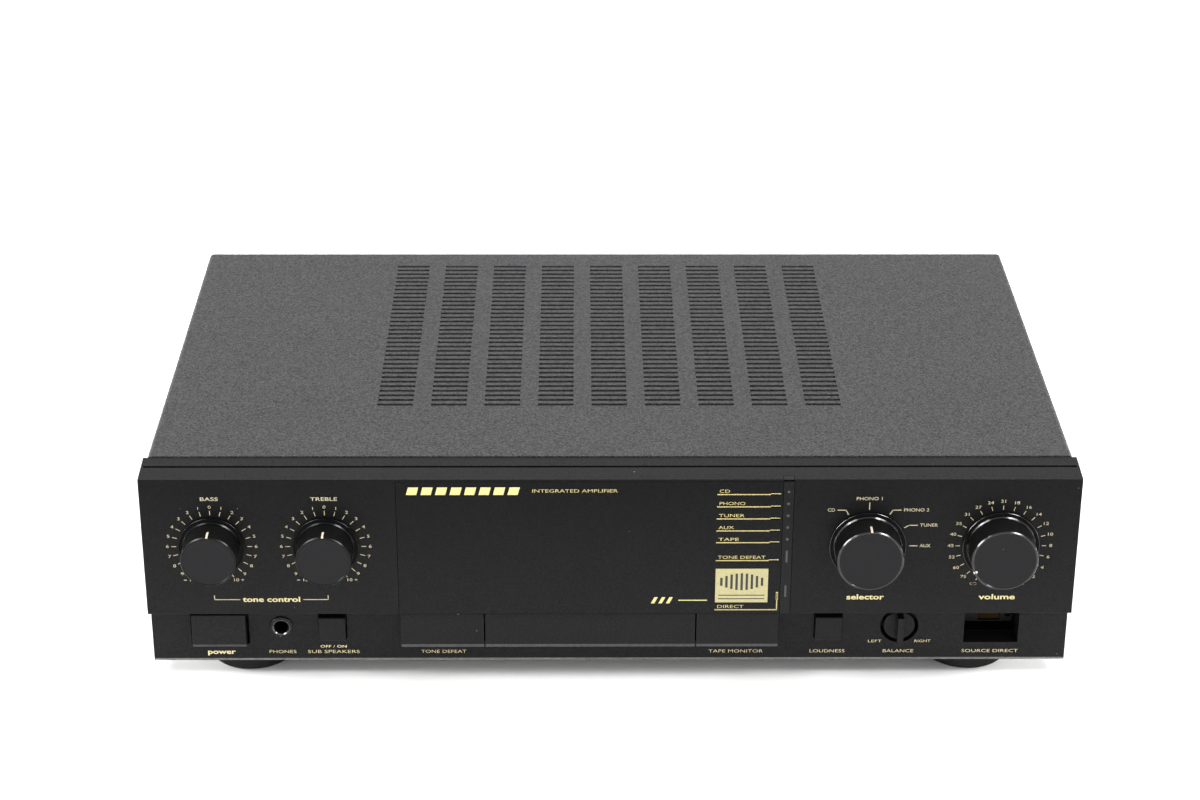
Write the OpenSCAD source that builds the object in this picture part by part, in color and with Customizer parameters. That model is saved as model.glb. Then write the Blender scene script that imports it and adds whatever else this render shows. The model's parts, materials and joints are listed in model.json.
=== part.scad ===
// Integrated amplifier: a low case with a slotted steel cover, a front in two steps,
// five rotary controls, five push buttons and a rear panel of sockets and screw terminals.
//
// Frame: X runs to the right, the front looks along -Y and Z is up. z = 0 is the shelf that
// the feet stand on, x = 0 is the middle, and y = 0 is half way between the front of the
// knobs and the tips of the rear terminals. Inside the modules, depths are counted from the
// face of the upper front panel, and from_face() moves them into the part's frame.

/* [Case] */
// Width of the front panel
front_w = 420; // [416:1:440]
// Width over the cover's side walls
cover_w = 417; // [414:0.5:416.5]
// Height of the cover's top above the shelf
case_h = 108.5; // [108:0.5:112]
// Depth from the front face to the cover's back edge
case_d = 254.4; // [254:0.2:262]
// Thickness of the cover's sheet
cover_t = 1; // [0.8:0.1:1.2]
// Outer radius of the cover's folded edges
cover_bend_r = 2.4; // [1.6:0.2:3]
// Thickness of the chassis sheet
sheet_t = 1.2; // [0.8:0.1:1.4]
// Gap between the shelf and the chassis base
foot_h = 11; // [9:0.5:13]
// Radius of a foot
foot_r = 20; // [14:1:22]
// Distance of the feet from the middle, sideways
foot_x = 167; // [150:1:180]

/* [Cooling slots] */
// Columns of slots in the cover
slot_columns = 9; // [3:2:15]
// Slots in each column
slot_rows = 34; // [4:1:34]
// Distance between columns
slot_column_pitch = 25; // [20:0.5:26]
// Distance between slots in a column
slot_row_pitch = 5; // [4:0.1:5]
// Length of a slot
slot_len = 16.6; // [8:0.2:18]
// Width of a slot
slot_w = 2.2; // [1.5:0.1:3]
// Depth of the first slot row behind the front face
slot_first = 72.5; // [60:0.5:75]

/* [Front panel] */
// Height of the lower panel's bottom edge above the shelf
lower_bottom = 8.2; // [8:0.1:10]
// Height of the upper panel's bottom edge above the shelf
upper_bottom = 37.8; // [37:0.1:40]
// Height of the upper face's top edge above the shelf
upper_top = 106.5; // [105:0.1:107]
// Rise of the top strip from the face to the cover
strip_rise = 1.5; // [0.5:0.1:1.5]
// Depth of the front moulding
front_d = 19; // [18:0.5:19]
// Depth of the step between the upper and lower faces
step_d = 8.5; // [6:0.5:9]
// Wall of the upper moulding
upper_wall = 3.5; // [3:0.1:4]
// Wall of the lower moulding
lower_wall = 2.5; // [2:0.1:3]
// Distance of the groove in the top strip from the face
groove_y = 11.2; // [8:0.2:13]
// Width of the groove
groove_w = 1.6; // [1:0.1:2.4]
// Depth of the groove
groove_d = 1.4; // [0.5:0.1:1.8]
// Left end of the display window
window_x0 = -95.8; // [-98:0.1:-94]
// Left edge of the indicator strip
strip_x0 = 76.9; // [76:0.1:78]
// Right edge of the indicator strip
strip_x1 = 81.6; // [80:0.1:83]
// Thickness of the window and the indicator strip
window_t = 2; // [1.5:0.1:2.4]

/* [Knobs] */
// Height of the four large controls above the shelf
knob_z = 72.9; // [70:0.1:75]
// Sideways place of the bass knob
bass_x = -178.9; // [-182:0.1:-175]
// Sideways place of the treble knob
treble_x = -127.8; // [-132:0.1:-120]
// Sideways place of the selector knob
selector_x = 115.5; // [112:0.1:120]
// Sideways place of the volume knob
volume_x = 175.4; // [172:0.1:180]
// Length of a knob in front of the panel
knob_len = 14.5; // [12:0.1:18]
// Radius of a tone knob's face
tone_r = 12.4; // [10:0.1:14]
// Radius of a tone knob's skirt
tone_skirt_r = 14.8; // [13:0.1:16]
// Radius of the selector and volume knobs' faces
main_r = 14.9; // [12:0.1:17]
// Radius of the selector and volume knobs' skirts
main_skirt_r = 17.3; // [15:0.1:19]
// Radius of a control shaft
shaft_r = 3; // [2:0.1:3]
// Radial gap between a shaft and its bush
shaft_gap = 0.05; // [0.02:0.01:0.1]

/* [Lower controls] */
// Height of the lower row of controls above the shelf
row_z = 26.5; // [26:0.1:27]
// Sideways place of the power button
power_x = -178.9; // [-180:0.1:-176]
// Width of the power button
power_w = 24.7; // [20:0.1:26]
// Height of the power button
power_h = 17; // [12:0.1:17.2]
// Sideways place of the headphone socket
phones_x = -150.7; // [-153:0.1:-148]
// Radius of the headphone socket's bore, for a 6.35 mm plug
phones_bore_r = 3.25; // [3.2:0.01:3.3]
// Sideways place of the square button for the second speakers
sub_x = -127.2; // [-130:0.1:-124]
// Sideways place of the loudness button
loudness_x = 100.2; // [98:0.1:104]
// Side of a square button
square_w = 12.2; // [9:0.1:13]
// Left and right ends of the wide buttons and the blank trim between them
wide_row = [-95.5, -57.6, -57.0, 38.8, 39.4, 76.7];
// Bottom of the wide buttons above the shelf
wide_z0 = 19.1; // [18:0.1:20]
// Top of the wide buttons above the shelf
wide_z1 = 37.2; // [36:0.1:37.4]
// How far the wide buttons' faces sit behind the upper face
wide_y = 1.6; // [1:0.1:4]
// Sideways place of the balance knob
balance_x = 133; // [130:0.1:136]
// Radius of the balance knob's disc
balance_r = 7.2; // [6:0.1:7.5]
// Radius of the opening round the balance disc
balance_hole_r = 8.8; // [8:0.1:9]
// Sideways place of the open button bay at the right
direct_x = 175.4; // [172:0.1:178]
// Width of the open button bay
direct_w = 25; // [20:0.1:26]
// Travel of the power button
power_travel = 4; // [2:0.5:4]
// Travel of the other buttons
button_travel = 3; // [2:0.5:3.5]

/* [Rear] */
// Distance between speaker terminals, sideways
post_pitch_x = 26; // [24:1:30]
// Distance between the two rows of speaker terminals
post_pitch_z = 26; // [22:1:30]
// Radius of a speaker terminal's screw cap
cap_r = 6.5; // [5:0.1:8]
// Distance between phono socket columns
jack_pitch_x = 18; // [16:1:20]
// Distance between the two rows of phono sockets
jack_pitch_z = 16; // [14:1:20]
// Radius of a phono socket's outer contact, for a standard phono plug
jack_r = 4.15; // [4:0.05:4.2]

/* [Inside] */
// Sideways place of the mains transformer
trafo_x = -140; // [-145:1:-130]
// Depth of the transformer's middle behind the front face
trafo_y = 118; // [100:1:140]
// Height of the main board above the shelf
board_z = 20; // [18:0.5:24]
// Thickness of a circuit board
board_t = 1.6; // [1.2:0.1:2]
// Number of heat sink fins
fins = 19; // [8:1:25]
// Radius of a filter capacitor
can_r = 15; // [10:1:18]

/* [Hidden] */
$fn = 64;

// Clearances
slip = 0.15;
eps = 0.01;

// Rear panel, terminals and overall depth
panel_y0 = case_d - cover_t - sheet_t - 0.1;
panel_y1 = panel_y0 + sheet_t;
cap_y0 = panel_y1 + 4.1;
cap_len = 10.5;
case_back = cap_y0 + cap_len;
face_y = -(case_back - knob_len) / 2;

// Cover and chassis
cover_x = cover_w / 2;
chassis_x = cover_x - cover_t - 0.5;
base_z1 = foot_h + sheet_t;
cover_in_z = case_h - cover_t;
cover_y0 = front_d + 0.35;
cover_bottom = foot_h + 1.2;
lip_h = 9;
tray_h = 15;
subframe_y0 = front_d + 0.3;
subframe_y1 = subframe_y0 + sheet_t;
upper_bosses_x = [-98, -30, 50, 145];
upper_boss_z = 60;
notch_y = 3.4;
lower_bosses_x = [-107, 115, 150];
base_y0 = subframe_y1 + 0.1;
base_y1 = panel_y0 - 0.1;
feet_y = [33.4, case_d - 32];
foot_screw_r = 1.6;
side_screws_y = [52, case_d - 42];
side_screw_z = 21;
lip_screws_x = [-150, 0, 150];
lip_screw_z = case_h - 5.2;
screw_r = 1.5;
screw_head_r = 3.2;
screw_head_t = 1.3;

// Control stack behind the front panel: pots or switches, then the boards
pot_y0 = subframe_y1;
pot_len = 12;
stack_y = 34;
bush_r = 4.5;
bush_y0 = subframe_y0 - 5;
nut_t = 2.4;
nut_r = 7.2;
balance_bush_r = 3.6;
balance_shaft_r = 2;
balance_z = row_z;
shaft_end = pot_y0 + 6;
stem_w = 4;
stem_end = stack_y - 8;
switch_y0 = stack_y - 10;
wide_bevel = [0.8, 1.9];
power_opening = [power_w + 2, power_h + 1.2];
square_opening = square_w + 0.8;
lower_top = upper_bottom - 0.2;

// The open bay at the right, a box pressed into the subframe
bay_z0 = 17.6;
bay_z1 = 35.6;
bay_y = 29;
bay_slot = [172, 182.3];
bay_slot_z = [18.2, 33.5];
bay_hole_r = 1.6;
bay_hole = [186.1, 21.6];

// Rear groups
post_x0 = -100;
post_z0 = 42;
jack_x0 = 48;
jack_z0 = 62;
jack_columns = 8;
inlet_x = -168;
inlet_z = 40;
post_r = 2;
post_bore_r = post_r + 0.05;
input_board_y = panel_y0 - 15;

// Boards: two upright ones behind the front and a flat one on the chassis
pot_board_z = [46, 98];
switch_board_z = [15, 42];
main_board_x = [-80, 200];
main_board_y = [58, 234];
board_top = board_z + board_t;
standoffs_x = [-70, 60, 190];
standoffs_y = [66, 228];

// Power parts
coil_x = 27.7;
sink_y = 152;
sink_top = 92;
transistors_x = [-42, -14, 14, 42];
transistor_t = 5;
transistor_z = [44, 64];
cans_x = [100, 138];
can_y = 110;
can_len = 45;
rectifier_x = -62;
rectifier_pins_y = [99, 104.3, 109.6, 115];
relay_x = -45;
fuse_y = 78;
fuse_x = [-60, -40];

// ------------------------------------------------------------------ shapes

// Moves depths counted from the front face into the part's frame
module from_face() {
    translate([0, face_y, 0]) children();
}

// Box between two values on each axis
module block(x, y, z) {
    translate([x[0], y[0], z[0]])
        cube([x[1] - x[0], y[1] - y[0], z[1] - z[0]]);
}

// Box centred on x, and between two values on the other axes
module centred_block(x, w, y, z) {
    block([x - w / 2, x + w / 2], y, z);
}

// Round bar along Y between two depths
module bar(r, y, x = 0, z = 0) {
    translate([x, y[0], z])
        rotate([-90, 0, 0])
            cylinder(r = r, h = y[1] - y[0]);
}

// Round bar along Z between two heights
module post(r, z, x = 0, y = 0) {
    translate([x, y, z[0]])
        cylinder(r = r, h = z[1] - z[0]);
}

// Solid turned about an axis along Y, from points of [radius, depth]
module turned(points, x = 0, z = 0) {
    translate([x, 0, z])
        rotate([-90, 0, 0])
            rotate_extrude()
                polygon(points);
}

// Outline of [depth, height] points drawn out along X
module along_x(x) {
    translate([x[0], 0, 0])
        rotate([90, 0, 90])
            linear_extrude(height = x[1] - x[0])
                children();
}

// Outline of [x, depth] points drawn out along Z
module along_z(z) {
    translate([0, 0, z[0]])
        linear_extrude(height = z[1] - z[0])
            children();
}

// Flat outline with four round corners
module round_rect(x, y, r) {
    translate([x[0] + r, y[0]])
        square([x[1] - x[0] - 2 * r, y[1] - y[0]]);
    translate([x[0], y[0] + r])
        square([x[1] - x[0], y[1] - y[0] - 2 * r]);
    for (cx = [x[0] + r, x[1] - r])
        for (cy = [y[0] + r, y[1] - r])
            translate([cx, cy])
                circle(r = r);
}

// ------------------------------------------------------------------ case

module chassis_base() {
    color([0.62, 0.62, 0.60]) from_face() {
        difference() {
            union() {
                block([-chassis_x, chassis_x], [base_y0, base_y1], [foot_h, base_z1]);
                for (side = [-1, 1])
                    centred_block(side * (chassis_x - sheet_t / 2), sheet_t,
                                  [base_y0, base_y1], [foot_h, foot_h + tray_h]);
                block([-chassis_x, chassis_x], [base_y0, base_y0 + sheet_t],
                      [foot_h, foot_h + 4]);
                block([-chassis_x, chassis_x], [base_y1 - sheet_t, base_y1],
                      [foot_h, foot_h + tray_h]);
                board_standoffs();
            }
            foot_screw_holes();
            side_screw_holes();
            base_slots();
        }
    }
}

module foot_screw_holes() {
    for (x = [-foot_x, foot_x])
        for (y = feet_y)
            post(foot_screw_r, [foot_h - 1, base_z1 + 1], x, y);
}

module side_screw_holes() {
    for (y = side_screws_y)
        translate([-cover_x - 1, y, side_screw_z])
            rotate([0, 90, 0])
                cylinder(r = screw_r, h = 2 * cover_x + 2);
}

// Air slots under the heat sink
module base_slots() {
    slot = [26, 4];
    pitch = [36, 10];
    for (column = [-1 : 1])
        for (row = [0 : 5])
            centred_block(column * pitch[0], slot[0],
                          [sink_y + row * pitch[1], sink_y + row * pitch[1] + slot[1]],
                          [foot_h - 1, base_z1 + 1]);
}

module board_standoffs() {
    standoff_r = 3;
    for (x = standoffs_x)
        for (y = standoffs_y)
            post(standoff_r, [foot_h, board_z], x, y);
}

module top_cover() {
    color([0.22, 0.22, 0.23]) from_face() {
        difference() {
            union() {
                slotted_top();
                cover_shell();
                block([-cover_x + cover_bend_r, cover_x - cover_bend_r],
                      [case_d - cover_t, case_d], [case_h - lip_h, case_h - cover_t / 2]);
            }
            side_screw_holes();
            for (x = lip_screws_x)
                bar(screw_r, [case_d - 3, case_d + 1], x, lip_screw_z);
        }
    }
}

// Folded sheet in section: both side walls, the round folds and a strip of the top
module cover_shell() {
    translate([0, case_d, 0])
        rotate([90, 0, 0])
            linear_extrude(height = case_d - cover_y0)
                difference() {
                    cover_outline(cover_x, case_h, cover_bend_r);
                    cover_outline(cover_x - cover_t, cover_in_z, cover_bend_r - cover_t);
                    slot_field = slot_columns * slot_column_pitch / 2 + 5;
                    translate([-slot_field, cover_in_z - 1])
                        square([2 * slot_field, cover_t + 2]);
                }
}

module cover_outline(x, z, r) {
    translate([-x, cover_bottom - (z < case_h ? 1 : 0)])
        square([2 * x, z - r - cover_bottom + (z < case_h ? 1 : 0)]);
    translate([-x + r, z - 2 * r])
        square([2 * (x - r), 2 * r]);
    for (side = [-1, 1])
        translate([side * (x - r), z - r])
            circle(r = r);
}

// Middle of the cover's top with its rows of cooling slots
module slotted_top() {
    field = slot_columns * slot_column_pitch / 2 + 5;
    first_x = -(slot_columns - 1) * slot_column_pitch / 2;
    along_z([cover_in_z, case_h])
        difference() {
            translate([-field, cover_y0])
                square([2 * field, case_d - cover_y0]);
            for (column = [0 : slot_columns - 1])
                for (row = [0 : slot_rows - 1])
                    translate([first_x + column * slot_column_pitch - slot_len / 2,
                               slot_first + row * slot_row_pitch - slot_w / 2])
                        square([slot_len, slot_w]);
        }
}

module rear_panel() {
    top_z = cover_in_z - 0.3;
    flange_y = 14;
    color([0.16, 0.16, 0.17]) from_face() {
        difference() {
            union() {
                block([-chassis_x, chassis_x], [panel_y0, panel_y1], [foot_h, top_z]);
                block([-chassis_x + 3, chassis_x - 3], [panel_y0 - flange_y, panel_y1],
                      [top_z - sheet_t, top_z]);
            }
            for (column = [0 : jack_columns - 1])
                for (row = [0 : 1])
                    bar(jack_r + 0.6, [panel_y0 - 1, panel_y1 + 1],
                        jack_x0 + column * jack_pitch_x, jack_z0 + row * jack_pitch_z);
            block(terminal_opening_x(), [panel_y0 - 1, panel_y1 + 1], terminal_opening_z());
            centred_block(inlet_x, 21.4, [panel_y0 - 1, panel_y1 + 1],
                          [inlet_z - 6.7, inlet_z + 6.7]);
            for (x = lip_screws_x)
                bar(screw_r, [panel_y0 - 1, panel_y1 + 1], x, lip_screw_z);
        }
    }
}

// Opening in the rear panel behind the speaker terminal block
function terminal_opening_x() = [post_x0 - 9, post_x0 + 3 * post_pitch_x + 9];
function terminal_opening_z() = [post_z0 - 8, post_z0 + post_pitch_z + 8];

module front_subframe() {
    top_z = cover_in_z - 0.3;
    flange_y = 11;
    color([0.45, 0.45, 0.46]) from_face() {
        difference() {
            union() {
                block([-chassis_x, chassis_x], [subframe_y0, subframe_y1],
                      [foot_h + 2, top_z]);
                block([-chassis_x + 3, chassis_x - 3], [subframe_y0, subframe_y1 + flange_y],
                      [top_z - sheet_t, top_z]);
                centred_block(direct_x, direct_w + 2 * sheet_t, [subframe_y0, bay_y],
                              [bay_z0 - sheet_t, bay_z1 + sheet_t]);
            }
            subframe_openings();
            centred_block(direct_x, direct_w, [subframe_y0 - 1, bay_y - sheet_t],
                          [bay_z0, bay_z1]);
            block(bay_slot, [bay_y - 3, bay_y + 1], bay_slot_z);
            bar(bay_hole_r, [bay_y - 3, bay_y + 1], bay_hole[0], bay_hole[1]);
        }
    }
}

// Holes for the control bushes, button stems, headphone socket and indicator lamps
module subframe_openings() {
    y = [subframe_y0 - 1, subframe_y1 + 1];
    for (x = [bass_x, treble_x, selector_x, volume_x])
        bar(bush_r + slip, y, x, knob_z);
    bar(balance_bush_r + slip, y, balance_x, balance_z);
    for (x = button_centres())
        centred_block(x, stem_w + 3, y, [row_z - 3.5, row_z + 3.5]);
    centred_block(phones_x, 15, y, [row_z - 8, row_z + 8]);
}

// Sideways places of the five buttons' stems
function button_centres() = [power_x, sub_x, tone_defeat_x(), tape_monitor_x(), loudness_x];
function tone_defeat_x() = (wide_row[0] + wide_row[1]) / 2;
function tape_monitor_x() = (wide_row[4] + wide_row[5]) / 2;

// Four feet, each with a raised rim round a screw pocket
module feet() {
    rim_w = 5;
    color([0.07, 0.07, 0.07]) from_face()
        for (x = [-foot_x, foot_x])
            for (y = feet_y)
                translate([x, y, 0])
                    rotate_extrude()
                        polygon([
                            [foot_r - rim_w, 0], [foot_r - 1.5, 0], [foot_r - 0.4, 0.5],
                            [foot_r, 1.6], [foot_r, foot_h], [foot_screw_r, foot_h],
                            [foot_screw_r, 6], [5, 6], [5, 1.2], [foot_r - rim_w, 1.2]
                        ]);
}

// Cover screws on both sides and along the back, and the four foot screws
module case_screws() {
    grip = screw_r - 0.1;
    color([0.10, 0.10, 0.10]) from_face() {
        for (side = [-1, 1])
            for (y = side_screws_y)
                translate([side * cover_x, y, side_screw_z])
                    rotate([0, side * 90, 0])
                        cross_head_screw(grip, 6);
        for (x = lip_screws_x)
            translate([x, case_d, lip_screw_z])
                rotate([-90, 0, 0])
                    cross_head_screw(grip, 6);
        for (x = [-foot_x, foot_x])
            for (y = feet_y)
                translate([x, y, 6])
                    rotate([180, 0, 0])
                        cross_head_screw(foot_screw_r - 0.1, 9);
    }
}

// Pan head screw: head above z = 0, thread below, with a cross recess
module cross_head_screw(thread_r, length) {
    cross_len = 3.4;
    cross_w = 0.8;
    difference() {
        union() {
            cylinder(r1 = screw_head_r, r2 = screw_head_r - 0.5, h = screw_head_t);
            translate([0, 0, -length])
                cylinder(r = thread_r, h = length + eps);
        }
        for (turn = [0, 90])
            rotate([0, 0, turn])
                translate([-cross_len / 2, -cross_w / 2, screw_head_t - 0.8])
                    cube([cross_len, cross_w, 2]);
    }
}

// ------------------------------------------------------------------ front panel

module upper_fascia() {
    edge = 0.3;
    half_w = front_w / 2;
    back_z = upper_top + strip_rise;
    groove_z = upper_top + strip_rise * groove_y / front_d;
    color([0.16, 0.16, 0.165]) from_face() {
        for (x = upper_bosses_x)
            boss(x, upper_wall, upper_boss_z);
        difference() {
            along_x([-half_w, half_w])
                polygon([
                    [edge, upper_bottom], [0, upper_bottom + edge], [0, upper_top - edge],
                    [edge, upper_top], [front_d, back_z], [front_d, upper_bottom]
                ]);
            block([-half_w + upper_wall, half_w - upper_wall], [upper_wall, front_d + 1],
                  [upper_bottom + 2.2, upper_top - 2.4]);
            block([-half_w + 1, half_w - 1], [groove_y - groove_w / 2, groove_y + groove_w / 2],
                  [groove_z - groove_d, groove_z + 2]);
            block([window_x0 - slip, strip_x1 + slip], [-1, window_t + 0.05],
                  [upper_bottom - 1, upper_top - 1]);
            block([strip_x0 + 0.6, strip_x1 - 0.6], [0, upper_wall + 1],
                  [upper_bottom + 6, upper_top - 5]);
            block([strip_x0 - slip, strip_x1 + slip], [-1, notch_y],
                  [upper_top - 1.2, back_z + 1]);
            for (x = [bass_x, treble_x, selector_x, volume_x])
                bar(bush_r, [-1, upper_wall + 1], x, knob_z);
        }
    }
}

// Boss that holds a front moulding to the subframe
module boss(x, y0, z) {
    boss_r = 4;
    bar(boss_r, [y0 - eps, subframe_y0], x, z);
}

module display_window() {
    color([0.13, 0.13, 0.135]) from_face()
        block([window_x0, strip_x0 - slip], [0, window_t], [upper_bottom + 0.1, upper_top - 1.1]);
}

// Strip whose upper end has a dark slot under a tab that lies in the fascia's notch
module indicator_strip() {
    bottom = upper_bottom + 0.1;
    slot_z = [upper_top - 1.1, upper_top - 0.3];
    slot_y = 1.4;
    tab_y = notch_y - slip;
    color([0.09, 0.09, 0.09]) from_face()
        along_x([strip_x0, strip_x1])
            polygon([
                [0, bottom], [0, slot_z[0]], [slot_y, slot_z[0]], [slot_y, slot_z[1]],
                [0, slot_z[1]], [0, upper_top - 0.05], [tab_y, upper_top + 0.15],
                [tab_y, slot_z[0]], [window_t, slot_z[0]], [window_t, bottom]
            ]);
}

module lower_fascia() {
    half_w = front_w / 2;
    chamfer = [0.6, 1.4];
    flange_z = [foot_h - 1.6, foot_h - 0.2];
    back = step_d + lower_wall;
    color([0.16, 0.16, 0.165]) from_face() {
        difference() {
            union() {
                along_x([-half_w, half_w])
                    polygon([
                        [step_d, lower_bottom + chamfer.y], [step_d + chamfer.x, lower_bottom],
                        [back, lower_bottom], [back, flange_z[0]], [front_d, flange_z[0]],
                        [front_d, flange_z[1]], [back, flange_z[1]], [back, lower_top],
                        [step_d, lower_top]
                    ]);
                for (side = [-1, 1])
                    centred_block(side * (half_w - lower_wall / 2), lower_wall,
                                  [back - eps, front_d], [lower_bottom, lower_top]);
                collar(power_x, power_opening.x, power_opening.y, row_z);
                collar(sub_x, square_opening, square_opening, row_z);
                collar(loudness_x, square_opening, square_opening, row_z);
                collar(direct_x, direct_w, bay_z1 - bay_z0, (bay_z0 + bay_z1) / 2);
                for (x = lower_bosses_x)
                    boss(x, back, row_z);
            }
            opening(power_x, power_opening.x, power_opening.y, row_z);
            opening(sub_x, square_opening, square_opening, row_z);
            opening(loudness_x, square_opening, square_opening, row_z);
            opening(direct_x, direct_w, bay_z1 - bay_z0, (bay_z0 + bay_z1) / 2);
            block([wide_row[0] - 0.3, wide_row[5] + 0.3], [0, back + 1],
                  [wide_z0 - 0.3, lower_top + 1]);
            bar(balance_hole_r, [0, back + 1], balance_x, balance_z);
            bar(4.6, [0, back + 1], phones_x, row_z);
            for (x = [-foot_x, foot_x])
                post(foot_r + 0.5, [lower_bottom - 1, foot_h], x, feet_y[0]);
        }
    }
}

// Thin wall round a button opening, behind the lower panel
module collar(x, w, h, z) {
    wall = 1;
    centred_block(x, w + 2 * wall, [step_d + 1, front_d], [z - h / 2 - wall, z + h / 2 + wall]);
}

module opening(x, w, h, z) {
    centred_block(x, w, [0, front_d + 1], [z - h / 2, z + h / 2]);
}

// Blank between the two wide buttons, clipped in from behind
module centre_trim() {
    trim_back = step_d + lower_wall + 4;
    color([0.15, 0.15, 0.155]) from_face() {
        key_cap([wide_row[2], wide_row[3]], [wide_z0, wide_z1], wide_y, trim_back, wide_bevel);
        for (x = [wide_row[2] + 12, wide_row[3] - 12])
            boss(x, trim_back, row_z);
    }
}

// Key cap between two x and two z values, with a sloping edge along its bottom
module key_cap(x, z, front, back, bevel) {
    along_x(x)
        polygon([
            [front + bevel.x, z[0]], [front, z[0] + bevel.y], [front, z[1] - 0.4],
            [front + 0.4, z[1]], [back, z[1]], [back, z[0]]
        ]);
}

// ------------------------------------------------------------------ buttons

// Key cap with a square stem that reaches into its switch
module button(x, z, front, bevel) {
    cap_back = step_d + 4;
    middle = (x[0] + x[1]) / 2;
    key_cap(x, z, front, cap_back, bevel);
    centred_block(middle, stem_w, [cap_back - eps, stem_end],
                  [row_z - stem_w / 2, row_z + stem_w / 2]);
}

module power_button() {
    color([0.17, 0.17, 0.175]) from_face()
        button([power_x - power_w / 2, power_x + power_w / 2],
               [row_z - power_h / 2, row_z + power_h / 2], step_d - 4.5, [0.7, 1.5]);
}

module sub_speakers_button() {
    color([0.17, 0.17, 0.175]) from_face() square_button(sub_x);
}

module loudness_button() {
    color([0.17, 0.17, 0.175]) from_face() square_button(loudness_x);
}

module square_button(x) {
    button([x - square_w / 2, x + square_w / 2], [row_z - square_w / 2, row_z + square_w / 2],
           step_d - 3.2, [0.4, 0.4]);
}

module tone_defeat_button() {
    color([0.15, 0.15, 0.155]) from_face()
        button([wide_row[0], wide_row[1]], [wide_z0, wide_z1], wide_y, wide_bevel);
}

module tape_monitor_button() {
    color([0.15, 0.15, 0.155]) from_face()
        button([wide_row[4], wide_row[5]], [wide_z0, wide_z1], wide_y, wide_bevel);
}

// Bare plunger of the switch in the open bay
module direct_plunger() {
    color([0.12, 0.12, 0.12]) from_face()
        centred_block((bay_slot[0] + bay_slot[1]) / 2, 3, [bay_y - 4, bay_y + 1.5],
                      [row_z + 1.5, row_z + 4.5]);
}

// ------------------------------------------------------------------ knobs and shafts

// Knob with a skirt at the panel, a slightly drawn-in face and a hollow back
module knob(x, r, skirt_r) {
    skirt_t = 1.6;
    gap = 0.5;
    round_r = 0.5;
    bore_r = shaft_r + 0.02;
    boss_r = 6;
    wall = 2;
    front = -knob_len;
    turned([
        [0, front], [r - 1.4 - round_r, front], [r - 1.4, front + round_r / 2],
        [r - 0.3, front + 1.1], [r, front + 1.6], [r + 0.5, -gap - skirt_t - 0.6],
        [skirt_r - 0.4, -gap - skirt_t], [skirt_r, -gap - skirt_t + 0.4], [skirt_r, -gap],
        [r - wall, -gap], [r - wall, front + 4], [boss_r, front + 4], [boss_r, -gap],
        [bore_r, -gap], [bore_r, front + 4], [0, front + 4]
    ], x, knob_z);
}

module bass_knob() {
    color([0.10, 0.10, 0.10]) from_face() knob(bass_x, tone_r, tone_skirt_r);
}

module treble_knob() {
    color([0.10, 0.10, 0.10]) from_face() knob(treble_x, tone_r, tone_skirt_r);
}

module selector_knob() {
    color([0.10, 0.10, 0.10]) from_face() knob(selector_x, main_r, main_skirt_r);
}

module volume_knob() {
    color([0.10, 0.10, 0.10]) from_face() knob(volume_x, main_r, main_skirt_r);
}

// Control shaft from inside the knob, through the bush, into the pot
module control_shaft(x) {
    color([0.78, 0.78, 0.76]) from_face()
        bar(shaft_r, [-knob_len + 4.1, shaft_end], x, knob_z);
}

module bass_shaft() {
    control_shaft(bass_x);
}

module treble_shaft() {
    control_shaft(treble_x);
}

module selector_shaft() {
    control_shaft(selector_x);
}

module volume_shaft() {
    control_shaft(volume_x);
}

// Disc in the lower panel with a rib right across it
module balance_knob() {
    rib_w = 2.8;
    disc_y = step_d - 0.2;
    disc_t = 5;
    color([0.17, 0.17, 0.175]) from_face() {
        difference() {
            union() {
                turned([
                    [0, disc_y], [balance_r - 0.4, disc_y], [balance_r, disc_y + 0.4],
                    [balance_r, disc_y + disc_t], [0, disc_y + disc_t]
                ], balance_x, balance_z);
                intersection() {
                    centred_block(balance_x, rib_w, [disc_y - 6, disc_y + 1],
                                  [balance_z - balance_r, balance_z + balance_r]);
                    bar(balance_r - 0.1, [disc_y - 7, disc_y + 1], balance_x, balance_z);
                }
            }
            bar(balance_shaft_r + 0.02, [disc_y + 1.5, disc_y + disc_t + 1], balance_x, balance_z);
        }
    }
}

module balance_shaft() {
    color([0.78, 0.78, 0.76]) from_face()
        bar(balance_shaft_r, [step_d + 1.5, shaft_end], balance_x, balance_z);
}

// ------------------------------------------------------------------ controls inside

// Case of a rotary control with its threaded bush, bored for the shaft
module rotary_control(x, z, case_r, r, axle_r, length) {
    difference() {
        union() {
            bar(case_r, [pot_y0, pot_y0 + length], x, z);
            bar(r, [bush_y0, pot_y0 + eps], x, z);
            centred_block(x, case_r * 1.5, [pot_y0 + 1, pot_y0 + length],
                          [z - case_r - 4, z]);
        }
        bar(axle_r + shaft_gap, [bush_y0 - 1, shaft_end + 1], x, z);
    }
}

module tone_pots() {
    color([0.55, 0.55, 0.52]) from_face()
        for (x = [bass_x, treble_x])
            rotary_control(x, knob_z, 8, bush_r, shaft_r, pot_len);
}

module volume_pot() {
    color([0.60, 0.60, 0.57]) from_face()
        rotary_control(volume_x, knob_z, 12, bush_r, shaft_r, pot_len);
}

module selector_switch() {
    color([0.58, 0.56, 0.50]) from_face()
        rotary_control(selector_x, knob_z, 13, bush_r, shaft_r, pot_len);
}

module balance_pot() {
    color([0.55, 0.55, 0.52]) from_face()
        difference() {
            union() {
                centred_block(balance_x, 17, [pot_y0, pot_y0 + pot_len], [15.5, 36]);
                bar(balance_bush_r, [subframe_y0 - 3, pot_y0 + eps], balance_x, balance_z);
            }
            bar(balance_shaft_r + shaft_gap, [subframe_y0 - 4, shaft_end + 1],
                balance_x, balance_z);
        }
}

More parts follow.
